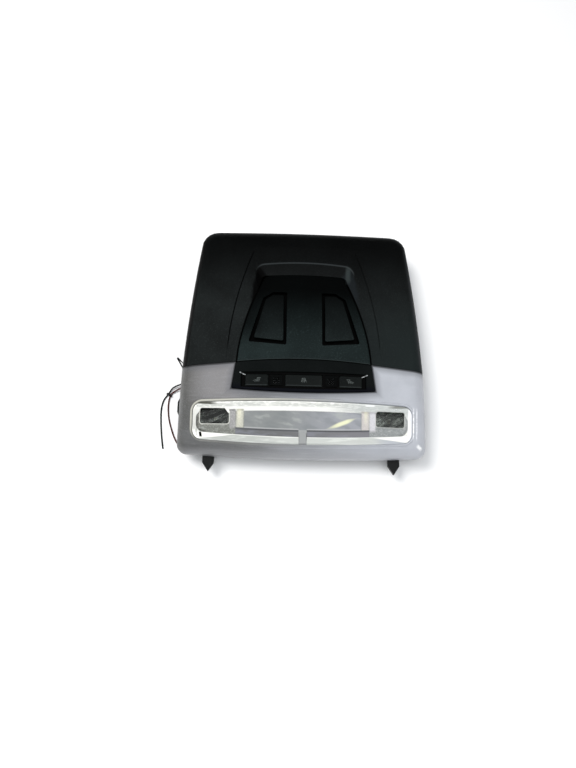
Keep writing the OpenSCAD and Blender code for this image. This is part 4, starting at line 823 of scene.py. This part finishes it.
    def windows(self):
        """Clear windows with rounded corners and light slanting streaks, in a thin pale line."""
        span_x, span_y = WINDOW
        beside = self.off_span(self.side, span_x)
        edge = self.rounded(beside, self.off_span(self.y, span_y), WINDOW_CORNER_R)
        line = self.times(self.inside(edge, WINDOW_LINE, 0.25), self.ramp(self.y, *WINDOW_LINE_Y, 0.2, 1))
        self.paint(self.times(line, self.across(60, 0.7, 0.3)), tone(214, 214, 206))
        window = self.ramp(edge, 0, -0.4)
        glare = self.glare()
        clear = self.least(window, self.minus(1, glare))
        self.paint(self.times(window, glare), tone(250, 250, 244))
        self.paint(clear, tone(60, 66, 58))
        self.paint(self.times(clear, self.across(20, 0, 1)), tone(134, 140, 134))
        slant_streak = self.noise(5, 4, (4, 0.7, 1), -28)
        self.paint(self.times(clear, self.ramp(slant_streak, 0.43, 0.64, 0, 0.95)), tone(230, 236, 228))
        self.paint(self.times(clear, self.ramp(self.noise(2.2, 3), 0.52, 0.66, 0, 0.6)), tone(40, 42, 40))
        return clear

    def marks(self):
        """A painted shadow crescent at the two upper corners, a small nick, and a few painted glints."""
        # Painted shadow under the lip at the upper corners
        slant = self.affine(self.side, -CRESCENT_SLOPE, CRESCENT_Y)
        off = self.size(self.plus(self.high, slant))
        along = self.times(self.ramp(self.side, *CRESCENT_INNER_X), self.ramp(self.side, *CRESCENT_OUTER_X))
        crescent = self.times(self.ramp(off, 1.5, 0.6), along, self.across(60, 1, 0.7))
        self.paint(crescent, tone(74, 74, 64))
        lean = self.affine(self.minus(self.y, NICK_PLACE[1]), NICK_SLOPE, -NICK_PLACE[0])
        off = self.size(self.plus(self.x, lean))
        self.paint(self.times(self.ramp(off, 1.5, 0.9), self.inside(self.y, NICK_Y, 0.8)), tone(8, 7, 6))
        # Painted glints on the upper band
        spark = self.ramp(self.noise(0.9, 1), 0.58, 0.68)
        self.paint(self.times(self.patch(*UPPER_GLINTS, 1.5, 0.6), spark), tone(253, 253, 253))


def lens_acrylic():
    lens = Lens()
    lens.upper_band()
    lens.lower_band()
    lens.ring_ends()
    floor = lens.floor()
    lens.frosted(floor)
    lens.strips()
    clear = lens.windows()
    lens.marks()
    lens.put(lens.shader.inputs["Transmission Weight"], lens.times(clear, 0.96))
    ribs = lens.noise(1.3, 1, (1, 40, 1))
    return lens.finish(lens.ramp(clear, 0, 1, 0.2, 0.03), lens.bump(ribs, 0.06))


# Colours of the pieces

# Depths over which the panel's wells and the caps get painted shade
WELL_SHADE_DEPTH = (0.7, 1.4)
CAP_SHADE_DEPTH = (0.85, 1.25)
MATT = (0.5, 0.6)
SATIN = (0.4, 0.5)
GLOSSY = (0.3, 0.4)

materials = {
    "console_cover": cover_plastic(),
    "centre_panel": panel_plastic("panel_plastic", tone(22, 29, 29), tone(28, 36, 36), WELL_SHADE_DEPTH),
    "left_blanking_cover": panel_plastic("cap_plastic", tone(21, 26, 26), tone(27, 33, 33), CAP_SHADE_DEPTH),
    "switch_bezel": strip_plastic(),
    "left_reading_button": button_plastic(),
    "left_microphone_grille": plastic("grille_plastic", tone(3, 4, 4), tone(7, 8, 8), MATT, specular=0.06),
    "base_housing": plastic("housing_plastic", tone(16, 17, 17), tone(22, 23, 23), MATT, 0.6, 0.02),
    "left_reflector": plastic("reflector_plastic", tone(22, 26, 24), tone(52, 56, 52), GLOSSY, 1.0, 0.03),
    "right_reflector": plastic(
        "pale_reflector_plastic", tone(54, 58, 58), tone(122, 126, 124), GLOSSY, 1.0, 0.03),
    "centre_diffuser": plastic(
        "diffuser_plastic", tone(228, 228, 220), tone(240, 240, 234), MATT, 0.8, 0.02),
    "circuit_board": plastic("board_lacquer", tone(22, 66, 42), tone(28, 80, 52), GLOSSY, 1.5, 0.01),
    "left_switch": plastic("switch_plastic", tone(18, 18, 20), tone(26, 26, 28), SATIN),
    "left_plunger": plastic("plunger_plastic", tone(205, 202, 188), tone(218, 216, 204), SATIN),
    "connector_header": plastic("header_plastic", tone(16, 16, 17), tone(24, 24, 25), (0.45, 0.55)),
    "lead_grommet": plastic("grommet_rubber", tone(12, 13, 13), tone(18, 19, 19), (0.6, 0.75)),
    "lead_tie": plastic("tie_plastic", tone(14, 14, 14), tone(22, 22, 22), SATIN),
    "centre_leds": plastic("led_phosphor", tone(96, 92, 66), tone(112, 108, 80), (0.2, 0.3), 0.6),
    "lamp_bezel": pearl_paint(),
    "lamp_lens": lens_acrylic(),
    "connector_pins": metal("pin_metal", tone(224, 192, 120)),
    "left_spring_clip": plastic("clip_enamel", tone(6, 6, 7), tone(10, 10, 11), SATIN, specular=0.12),
    "left_microphone": metal("capsule_metal", tone(176, 178, 182)),
    "cover_screws": metal("screw_steel", tone(164, 166, 170)),
    "black_lead": plastic("black_insulation", tone(16, 19, 18), tone(26, 30, 28), (0.35, 0.5), 0.9, 0.01),
    "red_lead": plastic("red_insulation", tone(50, 24, 24), tone(70, 34, 32), (0.35, 0.5), 0.9, 0.01),
}
same_as = {
    "right_blanking_cover": "left_blanking_cover", "centre_light_button": "left_reading_button",
    "right_reading_button": "left_reading_button", "right_microphone_grille": "left_microphone_grille",
    "centre_switch": "left_switch", "right_switch": "left_switch",
    "centre_plunger": "left_plunger", "right_plunger": "left_plunger", "left_reading_led": "centre_leds",
    "right_reading_led": "centre_leds", "right_microphone": "left_microphone",
    "board_screws": "cover_screws"}


def dress(obj, material):
    obj.data.materials.clear()
    obj.data.materials.append(material)


for name, node in nodes.items():
    node.material_slots[0].material = materials[same_as.get(name, name)]
dress(black_wire, materials["black_lead"])
dress(red_wire, materials["red_lead"])


# Marks printed on the buttons, and painted highlights at the ends of the recess: thin bright strips where
# light catches the sloping ends

MARK_W = 0.26
MARK_T = 0.03
SIDE_HEAD = [(0.4, 1.9), (3.8, 1.9), (3, 0.7), (1.2, 0.7), (0.4, 1.9)]
SIDE_RAYS = [
    [(0.5, 0.6), (-3.2, -0.9)], [(1, 0.1), (-1.9, -1.9)], [(1.8, 0), (0.1, -2)], [(2.6, 0.1), (2, -1.9)]]
MIDDLE_HEAD = [(-1.9, 1.1), (-1.2, 2.1), (1.2, 2.1), (1.9, 1.1), (-1.9, 1.1)]
MIDDLE_RAYS = [
    [(-1.2, 0.5), (-2.6, -1.6)], [(-0.4, 0.4), (-0.9, -2)],
    [(0.4, 0.4), (0.9, -2)], [(1.2, 0.5), (2.6, -1.6)]]
FLASH = [(-62, -32.6, 0.6), (-61, -33, 1.2), (-59, -33.8, 1), (-56, -34.9, 0.4)]
FLASH_LIFT = 0.25


def button_face(x, y):
    return crown(x, y) - STRIP_RECESS + BUTTON_PROUD


def recess_end(x, y):
    """Height just over the strip where its recess slopes up at an end."""
    rise = min(1, max(0, (STRIP_RECESS_HALF_W - FLASH_LIFT - abs(x)) / STRIP_END_W))
    return crown(x, y) - STRIP_RECESS * rise


def ribbon(points, height):
    """Corners of a thin flat line that lies on a face; each point has a place and a width."""
    places = [Vector(p[:2]) for p in points]
    rows = []
    for k, (x, y, width) in enumerate(points):
        along = (places[min(k + 1, len(places) - 1)] - places[max(k - 1, 0)]).normalized()
        side = Vector((-along.y, along.x)) * width / 2
        for turn in (side, -side):
            spot = places[k] + turn
            rows.append((spot.x, spot.y, height(spot.x, spot.y)))
    return rows


def printed(name, lines, height, body, material):
    """Thin closed strokes that stand a hair above a face."""
    verts, faces = [], []
    for line in lines:
        rows = ribbon(line, height)
        base = len(verts)
        n = len(rows)
        verts += [Vector((x, y, z + MARK_T)) * MM for x, y, z in rows]
        verts += [Vector((x, y, z - MARK_T)) * MM for x, y, z in rows]
        for k in range(0, n - 2, 2):
            a, b, c, d = base + k, base + k + 1, base + k + 3, base + k + 2
            faces += [(a, b, c, d), (d + n, c + n, b + n, a + n)]
            faces += [(a, d, d + n, a + n), (c, b, b + n, c + n)]
        faces += [(base, base + n, base + n + 1, base + 1)]
        faces += [(base + n - 2, base + n - 1, base + 2 * n - 1, base + 2 * n - 2)]
    mesh = bpy.data.meshes.new(name)
    mesh.from_pydata(verts, [], faces)
    piece = add(bpy.data.objects.new(name, mesh))
    dress(piece, material)
    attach(piece, body)


def mark(name, body, middle, turned, strokes):
    lines = [[(middle + turned * u, BUTTON_Y + v, MARK_W) for u, v in stroke] for stroke in strokes]
    printed(name, lines, button_face, body, mark_ink)


# Painted highlight: a bright strip laid over the sloping end of the recess
def flash(name, turned):
    line = [(turned * x, y, width) for x, y, width in FLASH]
    printed(name, [line], recess_end, "housing", recess_highlight)


mark_ink = plastic("mark_ink", tone(92, 98, 97), tone(116, 122, 120), (0.45, 0.55), 0.3, 0.002)
# A bright metal-like finish that stands for a highlight
recess_highlight = metal("recess_highlight", tone(222, 226, 226), (0.2, 0.3))
mark("left_reading_mark", "left_button", -READING_X, 1, [SIDE_HEAD] + SIDE_RAYS)
mark("centre_light_mark", "centre_button", 0, 1, [MIDDLE_HEAD] + MIDDLE_RAYS)
mark("right_reading_mark", "right_button", READING_X, -1, [SIDE_HEAD] + SIDE_RAYS)
flash("left_recess_highlight", 1)
flash("right_recess_highlight", -1)


# Smooth faces and slightly rounded edges: angles in degrees, sizes in millimetres

SHARP_ANGLE = 32
SLIGHT_ANGLE = 12
INNER_X = 90
INNER_Y = 108
JOIN_REACH = 0.002
EDGE_ROUNDS = {
    "console_cover": 0.5, "centre_panel": 0.25, "left_blanking_cover": 0.25, "right_blanking_cover": 0.25,
    "lamp_bezel": 0.3, "switch_bezel": 0.15, "left_reading_button": 0.15, "centre_light_button": 0.15,
    "right_reading_button": 0.15, "lamp_lens": 0.15}


class Steps(Nodes):
    """A group of steps that change the geometry of a piece, one after another."""

    def __init__(self, name):
        super().__init__(bpy.data.node_groups.new(name, "GeometryNodeTree"))
        self.tree.is_modifier = True
        for way in ("INPUT", "OUTPUT"):
            self.tree.interface.new_socket("Geometry", in_out=way, socket_type="NodeSocketGeometry")
        self.geometry = self.node("NodeGroupInput").outputs[0]

    def step(self, kind, constants, **settings):
        """Sends the geometry through one more node."""
        made = self.node(kind, **settings)
        for socket, value in constants.items():
            self.put(made.inputs[socket], value)
        self.put(made.inputs["Geometry"], self.geometry)
        self.geometry = made.outputs[0]

    def compare(self, operation, value, limit):
        return self.result("FunctionNodeCompare", value, limit, operation=operation)

    def both(self, operation, a, b):
        return self.result("FunctionNodeBooleanMath", a, b, operation=operation)

    def fold(self, operation, angle):
        """Whether the faces at an edge turn by more or less than an angle."""
        turn = self.node("GeometryNodeInputMeshEdgeAngle").outputs[0]
        return self.compare(operation, turn, math.radians(angle))

    def inner(self):
        """Whether an edge lies inside the rolled edge of the part."""
        x, y, _ = self.parts(self.node("GeometryNodeInputPosition").outputs[0])
        near = self.compare("LESS_THAN", self.size(x), INNER_X * MM)
        return self.both("AND", near, self.compare("LESS_THAN", y, INNER_Y * MM))

    def close(self):
        self.put(self.node("NodeGroupOutput").inputs[0], self.geometry)
        return self.tree


def joined_group():
    """Joins the corners of neighbouring faces and marks the edges that get rounded."""
    steps = Steps("joined")
    slight = steps.both("AND", steps.fold("GREATER_THAN", SLIGHT_ANGLE), steps.inner())
    marked = steps.both("OR", steps.fold("GREATER_THAN", SHARP_ANGLE), slight)
    steps.step("GeometryNodeRemoveAttribute", {"Name": "custom_normal"})
    steps.step("GeometryNodeMergeByDistance", {"Distance": JOIN_REACH * MM})
    steps.step(
        "GeometryNodeStoreNamedAttribute", {"Name": "bevel_weight_edge", "Value": marked},
        data_type="FLOAT", domain="EDGE")
    return steps.close()


def smooth_group():
    """Smooths the faces, and keeps the sharp edges."""
    steps = Steps("smooth")
    steps.step("GeometryNodeSetShadeSmooth", {})
    flat = steps.fold("LESS_THAN", SHARP_ANGLE)
    steps.step("GeometryNodeSetShadeSmooth", {"Shade Smooth": flat}, domain="EDGE")
    return steps.close()


def modify(obj, name, kind, **settings):
    made = obj.modifiers.new(name, kind)
    for key, value in settings.items():
        setattr(made, key, value)


joined = joined_group()
smooth = smooth_group()
for name, node in nodes.items():
    modify(node, "join", "NODES", node_group=joined)
    if name in EDGE_ROUNDS:
        modify(node, "round", "BEVEL", width=EDGE_ROUNDS[name] * MM, segments=3, limit_method="WEIGHT")
    modify(node, "smooth", "NODES", node_group=smooth)
    modify(node, "weigh", "WEIGHTED_NORMAL", keep_sharp=True, mode="FACE_AREA")


# Floor and soft light: sizes and places in metres

FLOOR_REACH = 3
KEY_COLOUR = (1, 0.985, 0.97)
SKY_COLOUR = (0.93, 0.965, 1)
ROOM_BRIGHT = (0.97, 0.99, 1, 1)
ROOM_DIM = (0.08, 0.08, 0.085, 1)
ROOM_STRENGTH = 0.78


def make_floor():
    shade = Shade("floor_paper", tone(250, 250, 250), {"Specular IOR Level": 0.1})
    shade.paint(shade.times(shade.noise(60, 2), 0.2), tone(246, 246, 247))
    mesh = bpy.data.meshes.new("floor")
    corners = [(-FLOOR_REACH, -FLOOR_REACH, 0), (FLOOR_REACH, -FLOOR_REACH, 0)]
    corners += [(FLOOR_REACH, FLOOR_REACH, 0), (-FLOOR_REACH, FLOOR_REACH, 0)]
    mesh.from_pydata(corners, [], [(0, 1, 2, 3)])
    floor = add(bpy.data.objects.new("floor", mesh))
    dress(floor, shade.finish(0.9))


def soft_light(name, place, size, power, colour):
    """A square light that faces the part and shows in no reflection."""
    data = bpy.data.lights.new(name, "AREA")
    data.shape = "SQUARE"
    data.size = size
    data.energy = power
    data.color = colour
    light = add(bpy.data.objects.new(name, data))
    light.location = place
    light.rotation_euler = (-Vector(place)).to_track_quat("-Z", "Y").to_euler()
    light.visible_glossy = False


def make_room():
    """Soft light from overhead and the near side, dimmer from the far side and low down."""
    world = bpy.data.worlds.new("room")
    world.use_nodes = True
    room = Nodes(world.node_tree)
    _, y, z = room.parts(room.node("ShaderNodeTexCoord").outputs["Generated"])
    below = room.ramp(z, 0.75, 0.6, kind="LINEAR")
    above = room.ramp(z, 0.12, 0.28, kind="LINEAR")
    far = room.ramp(y, 0.3, 0.52, kind="LINEAR")
    background = room.tree.nodes["Background"]
    light = room.mix(room.most(far, room.times(below, above)), ROOM_BRIGHT, ROOM_DIM)
    room.put(background.inputs["Color"], light)
    background.inputs["Strength"].default_value = ROOM_STRENGTH
    bpy.context.scene.world = world


make_floor()
soft_light("key", (-0.6, 0.28, 1.3), 0.6, 15, KEY_COLOUR)
soft_light("sky", (0.05, -0.3, 1.45), 1.0, 8.5, SKY_COLOUR)
make_room()
bpy.context.scene.view_settings.view_transform = "Standard"
